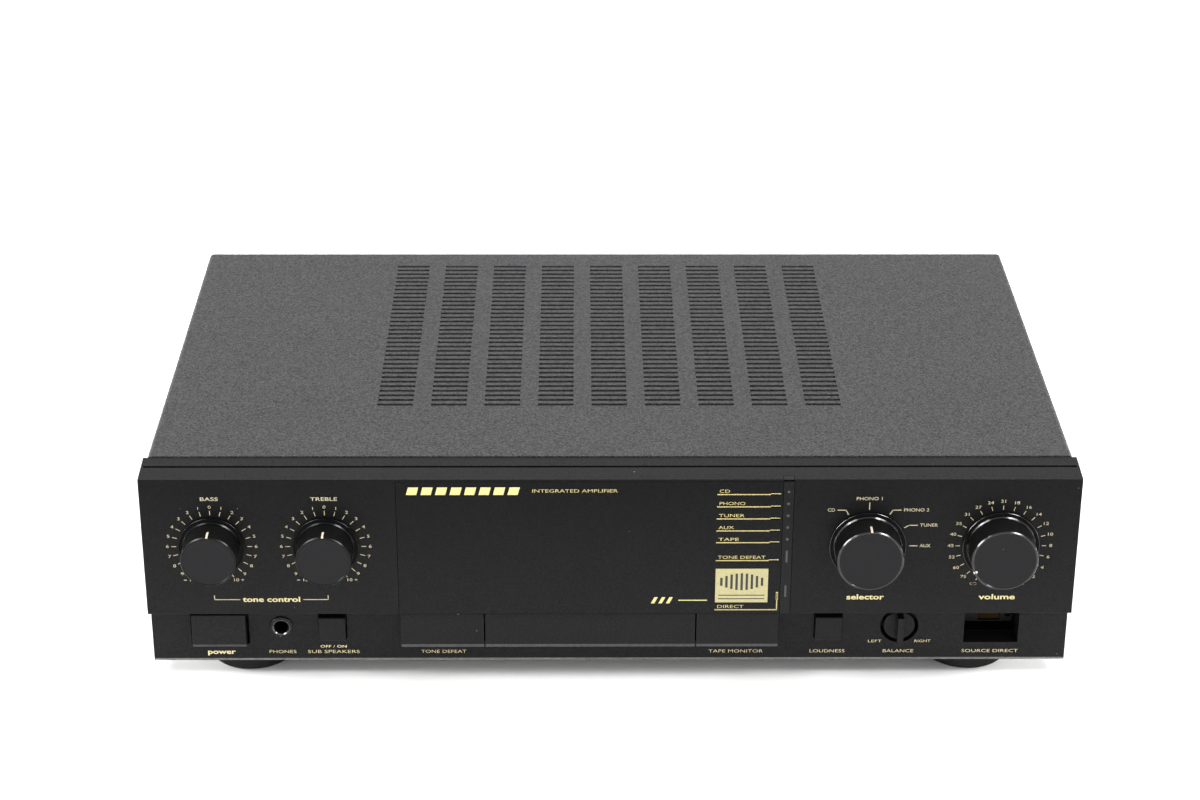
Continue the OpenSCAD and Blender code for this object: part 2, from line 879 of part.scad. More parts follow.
// Hexagonal nuts that hold the large controls to the subframe
module bush_nuts() {
    color([0.75, 0.75, 0.73]) from_face()
        for (x = [bass_x, treble_x, selector_x, volume_x])
            translate([x, subframe_y0 - nut_t, knob_z])
                rotate([-90, 0, 0])
                    difference() {
                        cylinder(r = nut_r, h = nut_t, $fn = 6);
                        translate([0, 0, -1])
                            cylinder(r = bush_r + 0.02, h = nut_t + 2);
                    }
}

module power_switch() {
    color([0.10, 0.10, 0.11]) from_face()
        switch_case(power_x, 20, 18, [switch_y0, stack_y + 18], stem_end + power_travel + 0.6);
}

// Switch case with a square well for the button's stem
module switch_case(x, w, h, y, well_end) {
    well = stem_w + 0.4;
    difference() {
        centred_block(x, w, y, [row_z - h / 2, row_z + h / 2]);
        centred_block(x, well, [y[0] - 1, well_end], [row_z - well / 2, row_z + well / 2]);
    }
}

module push_switches() {
    color([0.15, 0.15, 0.16]) from_face() {
        for (x = [sub_x, tone_defeat_x(), tape_monitor_x(), loudness_x])
            switch_case(x, 10, 12, [switch_y0, stack_y], stem_end + button_travel + 0.6);
        difference() {
            centred_block((bay_slot[0] + bay_slot[1]) / 2, 10, [bay_y + 0.3, stack_y],
                          [row_z - 3, row_z + 7]);
            centred_block((bay_slot[0] + bay_slot[1]) / 2, 3.4, [bay_y - 1, stack_y - 0.4],
                          [row_z + 1.3, row_z + 4.7]);
        }
    }
}

// Two upright boards for the pots and the push switches, and a small one in the bay
module control_boards() {
    y = [stack_y, stack_y + board_t];
    board_half_w = 200;
    color([0.52, 0.34, 0.14]) from_face() {
        block([-board_half_w, board_half_w], y, pot_board_z);
        difference() {
            block([-board_half_w, board_half_w], y, switch_board_z);
            centred_block(power_x, 21, [y[0] - 1, y[1] + 1], [switch_board_z[0] - 1, 37]);
            centred_block(phones_x, 15, [y[0] - 1, y[1] + 1], [switch_board_z[0] - 1, 36]);
        }
        block([bay_slot[0] - 2, bay_slot[1] + 2], [bay_y + 0.4, bay_y + 2],
              [bay_slot_z[0] - 2, row_z - 3]);
        for (x = [-190, -60, 0, 60, 190])
            board_spacer(x, pot_board_z[0] + 3);
        for (x = [-194, -100, 0, 88, 194])
            board_spacer(x, switch_board_z[1] - 2.5);
    }
}

// Square spacer between the subframe and a control board
module board_spacer(x, z) {
    centred_block(x, 6, [subframe_y1, stack_y + eps], [z - 2, z + 2]);
}

// Lamp board with five round lamps and two bars, held off the subframe by two legs
module indicator_lamps() {
    x = (strip_x0 + strip_x1) / 2;
    board_y = 11;
    color([0.75, 0.25, 0.12]) from_face() {
        centred_block(x, 8, [board_y, board_y + 1.6], [44, 103]);
        for (z = [50, 98])
            centred_block(x, 5, [board_y + 1, subframe_y0], [z - 2, z + 2]);
        for (i = [0 : 4])
            bar(1.5, [4.5, board_y + eps], x, upper_top - 6.2 - 6 * i);
        for (z = [67.5, 49.6])
            centred_block(x, 2, [4.5, board_y + eps], [z - 3, z + 3]);
    }
}

// Headphone socket: bush and ring in the lower panel, case behind it
module phones_socket() {
    ring_r = 5.4;
    ring_y = step_d - 0.9;
    bore_end = ring_y + 11;
    case_end = stack_y + 4;
    color([0.06, 0.06, 0.06]) from_face()
        difference() {
            union() {
                turned([
                    [0, ring_y], [ring_r - 0.5, ring_y], [ring_r, ring_y + 0.5],
                    [ring_r, step_d], [4.5, step_d], [4.5, 14], [0, 14]
                ], phones_x, row_z);
                centred_block(phones_x, 13, [step_d + lower_wall + 0.1, case_end],
                              [row_z - 6.5, row_z + 6.5]);
            }
            bar(phones_bore_r, [ring_y - 1, bore_end], phones_x, row_z);
            bar(4, [bore_end - eps, case_end - 2], phones_x, row_z);
        }
}

// ------------------------------------------------------------------ power and audio inside

module main_board() {
    color([0.55, 0.37, 0.16]) from_face()
        block(main_board_x, main_board_y, [board_z, board_top]);
}

// Laminated core with two windows, on a pair of mounting feet
module transformer_core() {
    color([0.30, 0.30, 0.31]) from_face()
        translate([trafo_x, trafo_y, base_z1]) {
            difference() {
                block([-42, 42], [-20, 20], [0, 72]);
                for (side = [-1, 1])
                    centred_block(side * 21, 14, [-21, 21], [15, 57]);
            }
            for (side = [-1, 1])
                centred_block(side * 47, 11, [-20, 20], [0, 2.5]);
        }
}

// Bobbin and coils round the middle leg of the core
module transformer_windings() {
    color([0.62, 0.42, 0.12]) from_face()
        translate([trafo_x, trafo_y, base_z1]) {
            difference() {
                along_z([15.4, 56.6])
                    round_rect([-coil_x, coil_x], [-34, 34], 5);
                block([-14.3, 14.3], [-20.3, 20.3], [14, 58]);
            }
        }
}

// Extruded comb of fins behind a thick plate
module heat_sink() {
    fin_pitch = 6.4;
    fin_t = 1.6;
    fin_len = 34;
    plate_t = 5;
    half_w = (fins - 1) * fin_pitch / 2 + fin_t / 2;
    color([0.12, 0.12, 0.125]) from_face()
        along_z([board_top, sink_top]) {
            translate([-half_w, sink_y])
                square([2 * half_w, plate_t]);
            for (i = [0 : fins - 1])
                translate([-half_w + i * fin_pitch, sink_y + plate_t - eps])
                    square([fin_t, fin_len]);
        }
}

// Four flat power transistors against the heat sink's plate, with three legs each
module output_transistors() {
    color([0.09, 0.09, 0.09]) from_face()
        for (x = transistors_x) {
            centred_block(x, 15.6, [sink_y - transistor_t, sink_y], transistor_z);
            for (leg = [-5.4, 0, 5.4])
                centred_block(x + leg, 1.2, [sink_y - 3, sink_y - 2],
                              [board_top, transistor_z[0] + eps]);
        }
}

module filter_capacitors() {
    color([0.10, 0.12, 0.22]) from_face()
        for (x = cans_x)
            post(can_r, [board_top, board_top + can_len], x, can_y);
}

module bridge_rectifier() {
    pin_len = 4;
    color([0.10, 0.10, 0.10]) from_face() {
        centred_block(rectifier_x, 4, [rectifier_pins_y[0] - 3, rectifier_pins_y[3] + 3],
                      [board_top + pin_len, board_top + 20]);
        for (y = rectifier_pins_y)
            centred_block(rectifier_x, 1.2, [y - 0.6, y + 0.6],
                          [board_top, board_top + pin_len + eps]);
    }
}

module speaker_relay() {
    color([0.80, 0.80, 0.76]) from_face()
        centred_block(relay_x, 29, [212, 226], [board_top, board_top + 26]);
}

// Glass fuse between two spring clips
module mains_fuse() {
    z = board_top + 7;
    color([0.78, 0.74, 0.60]) from_face() {
        translate([fuse_x[0], fuse_y, z])
            rotate([0, 90, 0])
                cylinder(r = 2.5, h = fuse_x[1] - fuse_x[0]);
        for (x = [fuse_x[0] + 2.5, fuse_x[1] - 2.5])
            centred_block(x, 4, [fuse_y - 3.4, fuse_y + 3.4], [board_top, z + 1.5]);
    }
}

// Straight runs of cable: a flat one from the controls to the input board, and three round
// ones from the transformer's coils down to the main board
module wiring() {
    flat_t = 1.2;
    flat_x = 197;
    flat_z = [60, 88];
    lead_r = 1.1;
    lead_z = 34;
    lead_pitch = 2.6;
    lead_y = trafo_y + 26.4;
    down_x = trafo_x + 70;
    color([0.75, 0.72, 0.66]) from_face() {
        block([flat_x - flat_t, flat_x], [stack_y + board_t, input_board_y], flat_z);
        block([150, flat_x], [input_board_y - flat_t, input_board_y], flat_z);
        for (i = [0 : 2]) {
            translate([trafo_x + coil_x, lead_y - i * lead_pitch, lead_z])
                rotate([0, 90, 0])
                    cylinder(r = lead_r, h = down_x - trafo_x - coil_x + lead_r);
            post(lead_r, [board_top, lead_z], down_x, lead_y - i * lead_pitch);
        }
    }
}

// ------------------------------------------------------------------ rear

// Upright board that carries the phono sockets
module input_board() {
    color([0.55, 0.37, 0.16]) from_face()
        block([jack_x0 - 14, jack_x0 + (jack_columns - 1) * jack_pitch_x + 14],
              [input_board_y, input_board_y + board_t], [46, 96]);
}

module phono_jacks() {
    board_back = input_board_y + board_t;
    color([0.80, 0.78, 0.70]) from_face()
        for (column = [0 : jack_columns - 1])
            for (row = [0 : 1])
                phono_jack(jack_x0 + column * jack_pitch_x, jack_z0 + row * jack_pitch_z,
                           board_back);
}

// Socket with a square seat inside the panel, a shoulder in its hole and a hollow contact
module phono_jack(x, z, board_back) {
    tip = panel_y1 + 9;
    difference() {
        union() {
            centred_block(x, 11, [board_back, panel_y0 - 0.1], [z - 5.5, z + 5.5]);
            bar(jack_r + 0.45, [panel_y0 - 0.2, panel_y1], x, z);
            bar(jack_r, [panel_y0 - 1, tip], x, z);
        }
        bar(1.65, [panel_y0 - 4, tip + 1], x, z);
    }
}

// Plastic plate of the speaker terminals, with a raised wall round each row of screw caps
module speaker_terminal_block() {
    x = terminal_opening_x();
    z = terminal_opening_z();
    color([0.08, 0.08, 0.08]) from_face()
        difference() {
            union() {
                block([x[0] - 5, x[1] + 5], [panel_y1, panel_y1 + 3], [z[0] - 5, z[1] + 5]);
                block([x[0] + slip, x[1] - slip], [panel_y0 - 5, panel_y1 + 1],
                      [z[0] + slip, z[1] - slip]);
            }
            for (i = [0 : 3])
                for (row = [0 : 1])
                    bar(post_r + 0.4, [panel_y0 - 6, panel_y1 + 4], post_x0 + i * post_pitch_x,
                        post_z0 + row * post_pitch_z);
        }
}

// Threaded studs: the collar inside and out clamps the terminal block
module speaker_posts() {
    color([0.80, 0.70, 0.40]) from_face()
        for (i = [0 : 3])
            for (row = [0 : 1])
                turned([
                    [0, panel_y0 - 12], [post_r, panel_y0 - 12], [post_r, panel_y0 - 7],
                    [4.5, panel_y0 - 7], [4.5, panel_y0 - 5], [post_r, panel_y0 - 5],
                    [post_r, panel_y1 + 3], [4.5, panel_y1 + 3], [4.5, panel_y1 + 4],
                    [post_r, panel_y1 + 4], [post_r, case_back - 3], [0, case_back - 3]
                ], post_x0 + i * post_pitch_x, post_z0 + row * post_pitch_z);
}

// Screw cap with a round waist and flutes for the fingers
module screw_cap(i, row, shade) {
    flutes = 10;
    flute_r = 0.9;
    x = post_x0 + i * post_pitch_x;
    z = post_z0 + row * post_pitch_z;
    color(shade) from_face()
        translate([x, 0, z])
            difference() {
                turned([
                    [post_bore_r, cap_y0], [4.8, cap_y0], [4.8, cap_y0 + 2],
                    [cap_r, cap_y0 + 2.6], [cap_r, case_back - 0.8],
                    [cap_r - 0.8, case_back], [0, case_back],
                    [0, case_back - 2.4], [post_bore_r, case_back - 2.4]
                ]);
                for (k = [0 : flutes - 1])
                    rotate([0, k * 360 / flutes, 0])
                        bar(flute_r, [cap_y0 + 2.2, case_back + 1], cap_r + 0.2, 0);
            }
}

module main_cap_1() {
    screw_cap(0, 1, [0.70, 0.06, 0.05]);
}

module main_cap_2() {
    screw_cap(1, 1, [0.07, 0.07, 0.07]);
}

module main_cap_3() {
    screw_cap(2, 1, [0.07, 0.07, 0.07]);
}

module main_cap_4() {
    screw_cap(3, 1, [0.70, 0.06, 0.05]);
}

module sub_cap_1() {
    screw_cap(0, 0, [0.70, 0.06, 0.05]);
}

module sub_cap_2() {
    screw_cap(1, 0, [0.07, 0.07, 0.07]);
}

module sub_cap_3() {
    screw_cap(2, 0, [0.07, 0.07, 0.07]);
}

module sub_cap_4() {
    screw_cap(3, 0, [0.70, 0.06, 0.05]);
}

// Two-pin mains inlet with a figure-of-eight well
module mains_inlet() {
    well_r = 4.2;
    pin_r = 1.2;
    pin_gap = 4.3;
    flange = [30, 17];
    color([0.06, 0.06, 0.06]) from_face() {
        difference() {
            union() {
                centred_block(inlet_x, 21, [panel_y0 - 16, panel_y1 + 0.5],
                              [inlet_z - 6.5, inlet_z + 6.5]);
                centred_block(inlet_x, flange[0], [panel_y1, panel_y1 + 2],
                              [inlet_z - flange[1] / 2, inlet_z + flange[1] / 2]);
            }
            for (side = [-1, 1])
                bar(well_r, [panel_y0 - 10, panel_y1 + 3], inlet_x + side * pin_gap, inlet_z);
            centred_block(inlet_x, 2 * pin_gap, [panel_y0 - 10, panel_y1 + 3],
                          [inlet_z - well_r * 0.72, inlet_z + well_r * 0.72]);
        }
        for (side = [-1, 1])
            bar(pin_r, [panel_y0 - 11, panel_y1 - 0.5], inlet_x + side * pin_gap, inlet_z);
    }
}

// ------------------------------------------------------------------ parts

chassis_base();
top_cover();
rear_panel();
front_subframe();
upper_fascia();
lower_fascia();
display_window();
indicator_strip();
centre_trim();
feet();
case_screws();
phones_socket();
tone_pots();
volume_pot();
selector_switch();
balance_pot();
bush_nuts();
power_switch();
push_switches();
control_boards();
indicator_lamps();
main_board();
transformer_core();
transformer_windings();
heat_sink();
output_transistors();
filter_capacitors();
bridge_rectifier();
speaker_relay();
mains_fuse();
input_board();
phono_jacks();
speaker_terminal_block();
speaker_posts();
mains_inlet();
wiring();
power_button();
sub_speakers_button();
tone_defeat_button();
tape_monitor_button();
loudness_button();
direct_plunger();
bass_knob();
bass_shaft();
treble_knob();
treble_shaft();
selector_knob();
selector_shaft();
volume_knob();
volume_shaft();
balance_knob();
balance_shaft();
main_cap_1();
main_cap_2();
main_cap_3();
main_cap_4();
sub_cap_1();
sub_cap_2();
sub_cap_3();
sub_cap_4();
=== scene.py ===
"""Looks of the integrated amplifier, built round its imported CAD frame.

Lengths are in metres, as in the frame: MM turns the millimetres used here into metres. The
lights and the camera stand at places of their own.
"""
import json
import math

import bmesh
import bpy
from mathutils import Matrix, Vector


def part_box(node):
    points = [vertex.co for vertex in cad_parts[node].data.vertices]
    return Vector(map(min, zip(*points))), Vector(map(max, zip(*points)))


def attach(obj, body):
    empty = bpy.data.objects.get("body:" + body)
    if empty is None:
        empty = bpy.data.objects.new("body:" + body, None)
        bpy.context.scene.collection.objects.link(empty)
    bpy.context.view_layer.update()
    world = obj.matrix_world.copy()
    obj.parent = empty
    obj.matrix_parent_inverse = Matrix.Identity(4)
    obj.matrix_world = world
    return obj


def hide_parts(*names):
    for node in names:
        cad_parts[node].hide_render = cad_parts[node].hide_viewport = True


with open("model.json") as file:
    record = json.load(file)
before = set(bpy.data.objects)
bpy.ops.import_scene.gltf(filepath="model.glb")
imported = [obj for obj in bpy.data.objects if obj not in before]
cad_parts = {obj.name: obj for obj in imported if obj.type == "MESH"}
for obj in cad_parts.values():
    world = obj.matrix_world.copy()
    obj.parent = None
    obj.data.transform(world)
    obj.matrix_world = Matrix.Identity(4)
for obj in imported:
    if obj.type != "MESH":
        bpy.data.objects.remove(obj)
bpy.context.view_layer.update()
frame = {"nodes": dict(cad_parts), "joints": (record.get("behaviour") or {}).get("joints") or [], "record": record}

MM = 0.001
NODES = frame["nodes"]
CHASSIS = "chassis"

# ---------------------------------------------------------------- places from the frame


def joint_axis(joint):
    """(x, z) of a hinge that turns about a line along Y."""
    found = next(j for j in frame["joints"] if j["name"] == joint)
    return found["pos_m"][0], found["pos_m"][2]


def middle(node):
    """Centre of a CAD node's box."""
    low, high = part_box(node)
    return (low + high) / 2


FACE_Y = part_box("upper_fascia")[0].y
LOWER_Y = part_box("lower_fascia")[0].y
FACE_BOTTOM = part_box("upper_fascia")[0].z
FACE_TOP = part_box("display_window")[1].z
STRIP_RISE = 1.6 * MM
STRIP_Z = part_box("upper_fascia")[1].z - STRIP_RISE
REAR_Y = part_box("rear_panel")[1].y
BASS = joint_axis("bass_turn")
TREBLE = joint_axis("treble_turn")
SELECTOR = joint_axis("selector_turn")
VOLUME = joint_axis("volume_turn")
BALANCE = joint_axis("balance_turn")

# ---------------------------------------------------------------- materials

EVEN = (1, 1, 1)
MIX_A, MIX_B, MIX_RESULT = 6, 7, 2
DUST = (0.5, 0.5, 0.48)
DUST_CORE = 0.6
# Heights and noise of the painted light graded up the front panel's gloss.
PAINTED_LIGHT_FOOT_Z = 20 * MM
PAINTED_LIGHT_BLUR = 0.1 * MM
PAINTED_LIGHT_GRAIN = 0.9 * MM
PAINTED_LIGHT_SWING = 0.28


def grey(tone, tint=1.0):
    """Neutral colour, with its blue scaled by tint."""
    return tone, tone, tone * tint


class Shader:
    """A node material round one Principled surface, with short calls for its parts."""

    def __init__(self, name, color, roughness):
        self.material = bpy.data.materials.new(name)
        self.material.use_nodes = True
        self.tree = self.material.node_tree
        self.surface = self.tree.nodes["Principled BSDF"]
        self.surface.inputs["Base Color"].default_value = (*color, 1.0)
        self.surface.inputs["Roughness"].default_value = roughness
        self.color = color
        self.roughness = roughness
        self.place = self.add("ShaderNodeTexCoord").outputs["Object"]

    def add(self, kind, **inputs):
        """Adds a node and feeds its named inputs."""
        node = self.tree.nodes.new(kind)
        for key, value in inputs.items():
            self.feed(node, key.replace("_", " "), value)
        return node

    def feed(self, node, key, value):
        """Sets an input to a plain value, or links it to another node's output."""
        if isinstance(value, bpy.types.NodeSocket):
            self.tree.links.new(value, node.inputs[key])
        else:
            node.inputs[key].default_value = value

    def noise(self, size, detail=2.0, stretch=EVEN):
        """Noise whose features are about size metres across, drawn out by stretch."""
        mapping = self.add("ShaderNodeMapping", Vector=self.place)
        mapping.inputs["Scale"].default_value = [1 / s for s in stretch]
        noise = self.add("ShaderNodeTexNoise", Vector=mapping.outputs[0], Scale=1 / size)
        noise.inputs["Detail"].default_value = detail
        return noise.outputs["Fac"]

    def spread(self, value, low, high, start=0.3, end=0.7):
        """Maps start..end of a value to low..high."""
        node = self.add("ShaderNodeMapRange", Value=value)
        for key, number in (("From Min", start), ("From Max", end), ("To Min", low),
                            ("To Max", high)):
            node.inputs[key].default_value = number
        return node.outputs[0]

    def mottle(self, size, amount, detail=3.0, stretch=EVEN):
        """Lightens and darkens the base colour in soft patches."""
        shade = self.add("ShaderNodeVectorMath")
        shade.operation = "SCALE"
        patches = self.noise(size, detail, stretch)
        self.feed(shade, "Scale", self.spread(patches, 1 - amount, 1 + amount))
        source = self.surface.inputs["Base Color"]
        if source.is_linked:
            self.feed(shade, 0, source.links[0].from_socket)
        else:
            shade.inputs[0].default_value = self.color
        self.tree.links.new(shade.outputs[0], source)
        return self

    def polish(self, size, amount, stretch=EVEN):
        """Varies the roughness in patches."""
        value = self.spread(self.noise(size, 2.0, stretch), self.roughness - amount,
                            self.roughness + amount)
        self.feed(self.surface, "Roughness", value)
        return self

    def grain(self, size, depth, detail=2.0, stretch=EVEN):
        """Raises a fine relief of a given feature size and depth."""
        bump = self.add("ShaderNodeBump", Height=self.noise(size, detail, stretch), Distance=depth)
        bump.inputs["Strength"].default_value = 1.0
        source = self.surface.inputs["Normal"]
        if source.is_linked:
            self.feed(bump, "Normal", source.links[0].from_socket)
        self.tree.links.new(bump.outputs[0], source)
        return self

    def specks(self, spacing, radius):
        """Scatters a few tiny grains of dust."""
        cells = self.add("ShaderNodeTexVoronoi", Vector=self.place, Scale=1 / spacing)
        share = radius / spacing
        inside = self.spread(cells.outputs["Distance"], 1.0, 0.0, share * DUST_CORE, share)
        mix = self.add("ShaderNodeMix")
        mix.data_type = "RGBA"
        self.tree.links.new(inside, mix.inputs[0])
        source = self.surface.inputs["Base Color"]
        if source.is_linked:
            self.feed(mix, MIX_A, source.links[0].from_socket)
        else:
            mix.inputs[MIX_A].default_value = (*self.color, 1.0)
        mix.inputs[MIX_B].default_value = (*DUST, 1.0)
        self.tree.links.new(mix.outputs[MIX_RESULT], source)
        return self

    def fade(self, key, bottom, top, painted_strip_light):
        """Painted light: changes an input evenly up the front panel, with its own value on the top strip, so the
        front reads darker towards its top and the strip lighter, as light falls; noise patches make it uneven.
        """
        height = self.add("ShaderNodeSeparateXYZ", Vector=self.place).outputs["Z"]
        either = self.add("ShaderNodeMath")
        either.operation = "MAXIMUM"
        self.feed(either, 0, self.spread(height, bottom, top, PAINTED_LIGHT_FOOT_Z, FACE_TOP))
        self.feed(either, 1, self.spread(height, 0.0, painted_strip_light, STRIP_Z, STRIP_Z + PAINTED_LIGHT_BLUR))
        uneven = self.add("ShaderNodeMath")
        uneven.operation = "MULTIPLY"
        self.feed(uneven, 0, either.outputs[0])
        patches = self.noise(PAINTED_LIGHT_GRAIN, 3.0)
        self.feed(uneven, 1, self.spread(patches, 1 - PAINTED_LIGHT_SWING, 1 + PAINTED_LIGHT_SWING))
        self.feed(self.surface, key, uneven.outputs[0])
        return self

    def set(self, **inputs):
        """Sets plain inputs of the surface."""
        for key, value in inputs.items():
            self.surface.inputs[key.replace("_", " ")].default_value = value
        return self


def cover_paint():
    """Dark grey textured enamel on the steel cover."""
    shader = Shader("cover_paint", (0.0257, 0.0257, 0.0270), 0.48)
    shader.mottle(0.9 * MM, 0.9, 2.0).mottle(60 * MM, 0.06)
    shader.polish(1.1 * MM, 0.12)
    return shader.grain(0.8 * MM, 0.16 * MM, 3.0).set(Specular_IOR_Level=0.42).material


def fascia_plastic(name, tone):
    """Satin black moulding with a very fine texture; its gloss carries painted light, stronger at the bottom of
    the front, weaker towards its top edge, and stronger again on the top strip.
    """
    shader = Shader(name, grey(tone, 1.02), 0.35)
    shader.mottle(0.8 * MM, 0.12, 2.0).mottle(45 * MM, 0.05)
    shader.polish(8 * MM, 0.03).grain(0.35 * MM, 0.008 * MM).specks(9 * MM, 0.16 * MM)
    # Painted shade towards the top of the front and a painted highlight on the top strip, both through the gloss.
    return shader.fade("Specular IOR Level", bottom=0.137, top=0.060, painted_strip_light=0.27).material


def knob_side(name, roughness, gloss):
    """Glossy black moulding of a knob's rim and skirt."""
    shader = Shader(name, grey(0.002), roughness)
    shader.mottle(6 * MM, 0.2).polish(10 * MM, 0.03)
    return shader.specks(7 * MM, 0.13 * MM).set(Specular_IOR_Level=gloss).material


def knob_barrel():
    """Dark satin barrel of a knob, between the glossy rim and foot."""
    shader = Shader("knob_barrel", grey(0.003), 0.38).mottle(5 * MM, 0.2)
    return shader.specks(8 * MM, 0.14 * MM).set(Specular_IOR_Level=0.15).material


def knob_well():
    """Painted shade: dull black on the sunk ring round a knob's foot, and on the walls of the open bay, standing
    in for the shadow there.
    """
    shader = Shader("knob_well", grey(0.0015), 0.6).mottle(3 * MM, 0.2)
    return shader.grain(0.5 * MM, 0.005 * MM).set(Specular_IOR_Level=0.08).material


def knob_face():
    """Fine-spun dark metal disc on the knob's front."""
    shader = Shader("knob_face", (0.0078, 0.0078, 0.0088), 0.40)
    shader.mottle(0.7 * MM, 0.10, 2.0).grain(0.3 * MM, 0.006 * MM)
    shader.polish(5 * MM, 0.03)
    return shader.specks(6 * MM, 0.12 * MM).set(Specular_IOR_Level=0.120).material


def print_ink(name, color, glow=0.0):
    """Opaque printing ink with the faint unevenness of a screen print."""
    shader = Shader(name, color, 0.45).mottle(0.9 * MM, 0.10).grain(0.2 * MM, 0.003 * MM)
    return shader.polish(2 * MM, 0.05).set(Metallic=glow).material


def zinc_steel():
    """Zinc plated sheet with rolling marks along X."""
    shader = Shader("zinc_steel", (0.52, 0.52, 0.50), 0.38).mottle(18 * MM, 0.10)
    shader.polish(9 * MM, 0.08, (8, 1, 1))
    return shader.grain(0.6 * MM, 0.006 * MM, 3.0, (14, 1, 1)).set(Metallic=0.95).material


def black_paint(name, tone, roughness):
    """Thin satin paint on steel."""
    shader = Shader(name, grey(tone, 1.05), roughness).mottle(30 * MM, 0.08)
    shader.polish(12 * MM, 0.05)
    return shader.grain(0.5 * MM, 0.01 * MM).set(Specular_IOR_Level=0.45).material


def moulded(name, color, roughness, grain_depth=0.006, gloss=0.5):
    """Plain moulded plastic; the grain's depth is in millimetres."""
    shader = Shader(name, color, roughness).mottle(7 * MM, 0.10).polish(6 * MM, 0.05)
    shader.grain(0.45 * MM, grain_depth * MM).specks(8 * MM, 0.12 * MM)
    return shader.set(Specular_IOR_Level=gloss).material


def rubbed_edge(name, tone):
    """Painted reflection of the pale floor on the lower, downward-facing edge of a black moulding: a lighter grey,
    mottled in patches.
    """
    shader = Shader(name, grey(tone, 0.97), 0.45).mottle(1.6 * MM, 0.30, 3.0)
    return shader.mottle(12 * MM, 0.12, 2.0, (3, 1, 1)).set(Specular_IOR_Level=0.3).material


def metal(name, color, roughness, stretch=EVEN):
    """Plated or turned metal with fine marks drawn out along stretch."""
    shader = Shader(name, color, roughness).mottle(4 * MM, 0.07).polish(3 * MM, 0.06, stretch)
    return shader.grain(0.3 * MM, 0.003 * MM, 2.0, stretch).set(Metallic=1.0).material


def board_laminate():
    """Brown paper laminate with faint streaks along X."""
    shader = Shader("board_laminate", (0.30, 0.16, 0.05), 0.5).mottle(9 * MM, 0.22, 4.0)
    shader.mottle(2.2 * MM, 0.10, 2.0, (6, 1, 1))
    return shader.grain(0.8 * MM, 0.01 * MM).polish(5 * MM, 0.08).material


def laminations():
    """Stacked core plates: fine dark lines across the stack."""
    shader = Shader("laminations", (0.06, 0.06, 0.065), 0.45).mottle(14 * MM, 0.2)
    wave = shader.add("ShaderNodeTexWave", Vector=shader.place, Scale=1 / (2.2 * MM))
    wave.bands_direction = "Y"
    wave.inputs["Distortion"].default_value = 0.4
    bump = shader.add("ShaderNodeBump", Height=wave.outputs["Fac"], Distance=0.12 * MM)
    shader.tree.links.new(bump.outputs[0], shader.surface.inputs["Normal"])
    return shader.set(Metallic=0.6).material


def clear_glass():
    """Clear glass of the fuse's tube."""
    shader = Shader("fuse_glass", (0.85, 0.87, 0.85), 0.05).mottle(3 * MM, 0.03)
    return shader.set(Transmission_Weight=0.85, IOR=1.45).material


MATERIALS = {
    "cover_paint": cover_paint(),
    "panel_paint": black_paint("panel_paint", 0.018, 0.42),
    "zinc_steel": zinc_steel(),
    "fascia_black": fascia_plastic("fascia_black", 0.0055),
    "window_black": fascia_plastic("window_black", 0.0048),
    "strip_smoke": fascia_plastic("strip_smoke", 0.0085),
    "key_black": fascia_plastic("key_black", 0.0065),
    "knob_black": knob_side("knob_gloss", 0.15, 0.5),
    "knob_face": knob_face(),
    "foot_black": moulded("foot_black", grey(0.006), 0.5, 0.02, gloss=0.16),
    "screw_black": metal("screw_black", grey(0.10), 0.38),
    "socket_black": moulded("socket_black", grey(0.005), 0.25, 0.002, gloss=0.2),
    "pot_case": metal("pot_case", (0.50, 0.49, 0.45), 0.35),
    "nut_nickel": metal("nut_nickel", (0.66, 0.64, 0.58), 0.28),
    "switch_black": moulded("switch_black", (0.02, 0.02, 0.022), 0.4),
    "board_brown": board_laminate(),
    "lamp_amber": moulded("lamp_amber", (0.45, 0.12, 0.04), 0.3),
    "core_steel": laminations(),
    "winding_tape": moulded("winding_tape", (0.50, 0.30, 0.07), 0.42, 0.03),
    "sink_black": metal("sink_black", (0.035, 0.035, 0.037), 0.45, (1, 1, 12)),
    "resin_black": moulded("resin_black", grey(0.015), 0.45),
    "can_sleeve": moulded("can_sleeve", (0.015, 0.02, 0.07), 0.25),
    "relay_case": moulded("relay_case", (0.55, 0.55, 0.50), 0.25),
    "fuse_glass": clear_glass(),
    "jack_nickel": metal("jack_nickel", (0.72, 0.69, 0.60), 0.22),
    "post_brass": metal("post_brass", (0.74, 0.58, 0.28), 0.25),
    "cable_pvc": moulded("cable_pvc", (0.42, 0.40, 0.36), 0.45),
    "shaft_alloy": metal("shaft_alloy", (0.70, 0.70, 0.68), 0.3),
    "cap_red": moulded("cap_red", (0.42, 0.015, 0.012), 0.28),
    "cap_black": moulded("cap_black", grey(0.010), 0.28),
}
# Duller, less glossy copy of the knob gloss for the bass and treble knobs: painted shade that dims the glints they
# catch from the lights.
SHADED_TONE_KNOB = knob_side("tone_knob_painted_shade", 0.22, 0.14)
KNOB_BARREL = knob_barrel()
# Near-black standing in for the shadow in the knob rings and the bay: painted shade.
PAINTED_SHADE_WELL = knob_well()
GLOSS_EDGE = moulded("gloss_edge", grey(0.004), 0.10, 0.0005, gloss=1.0)
# Lighter greys for the forward and downward facing lower edges: painted reflection of the pale floor.
PANEL_PAINTED_REFLECTION = rubbed_edge("panel_painted_reflection", 0.125)
KEY_PAINTED_REFLECTION = rubbed_edge("key_painted_reflection", 0.048)
POWER_PAINTED_REFLECTION = rubbed_edge("power_painted_reflection", 0.032)
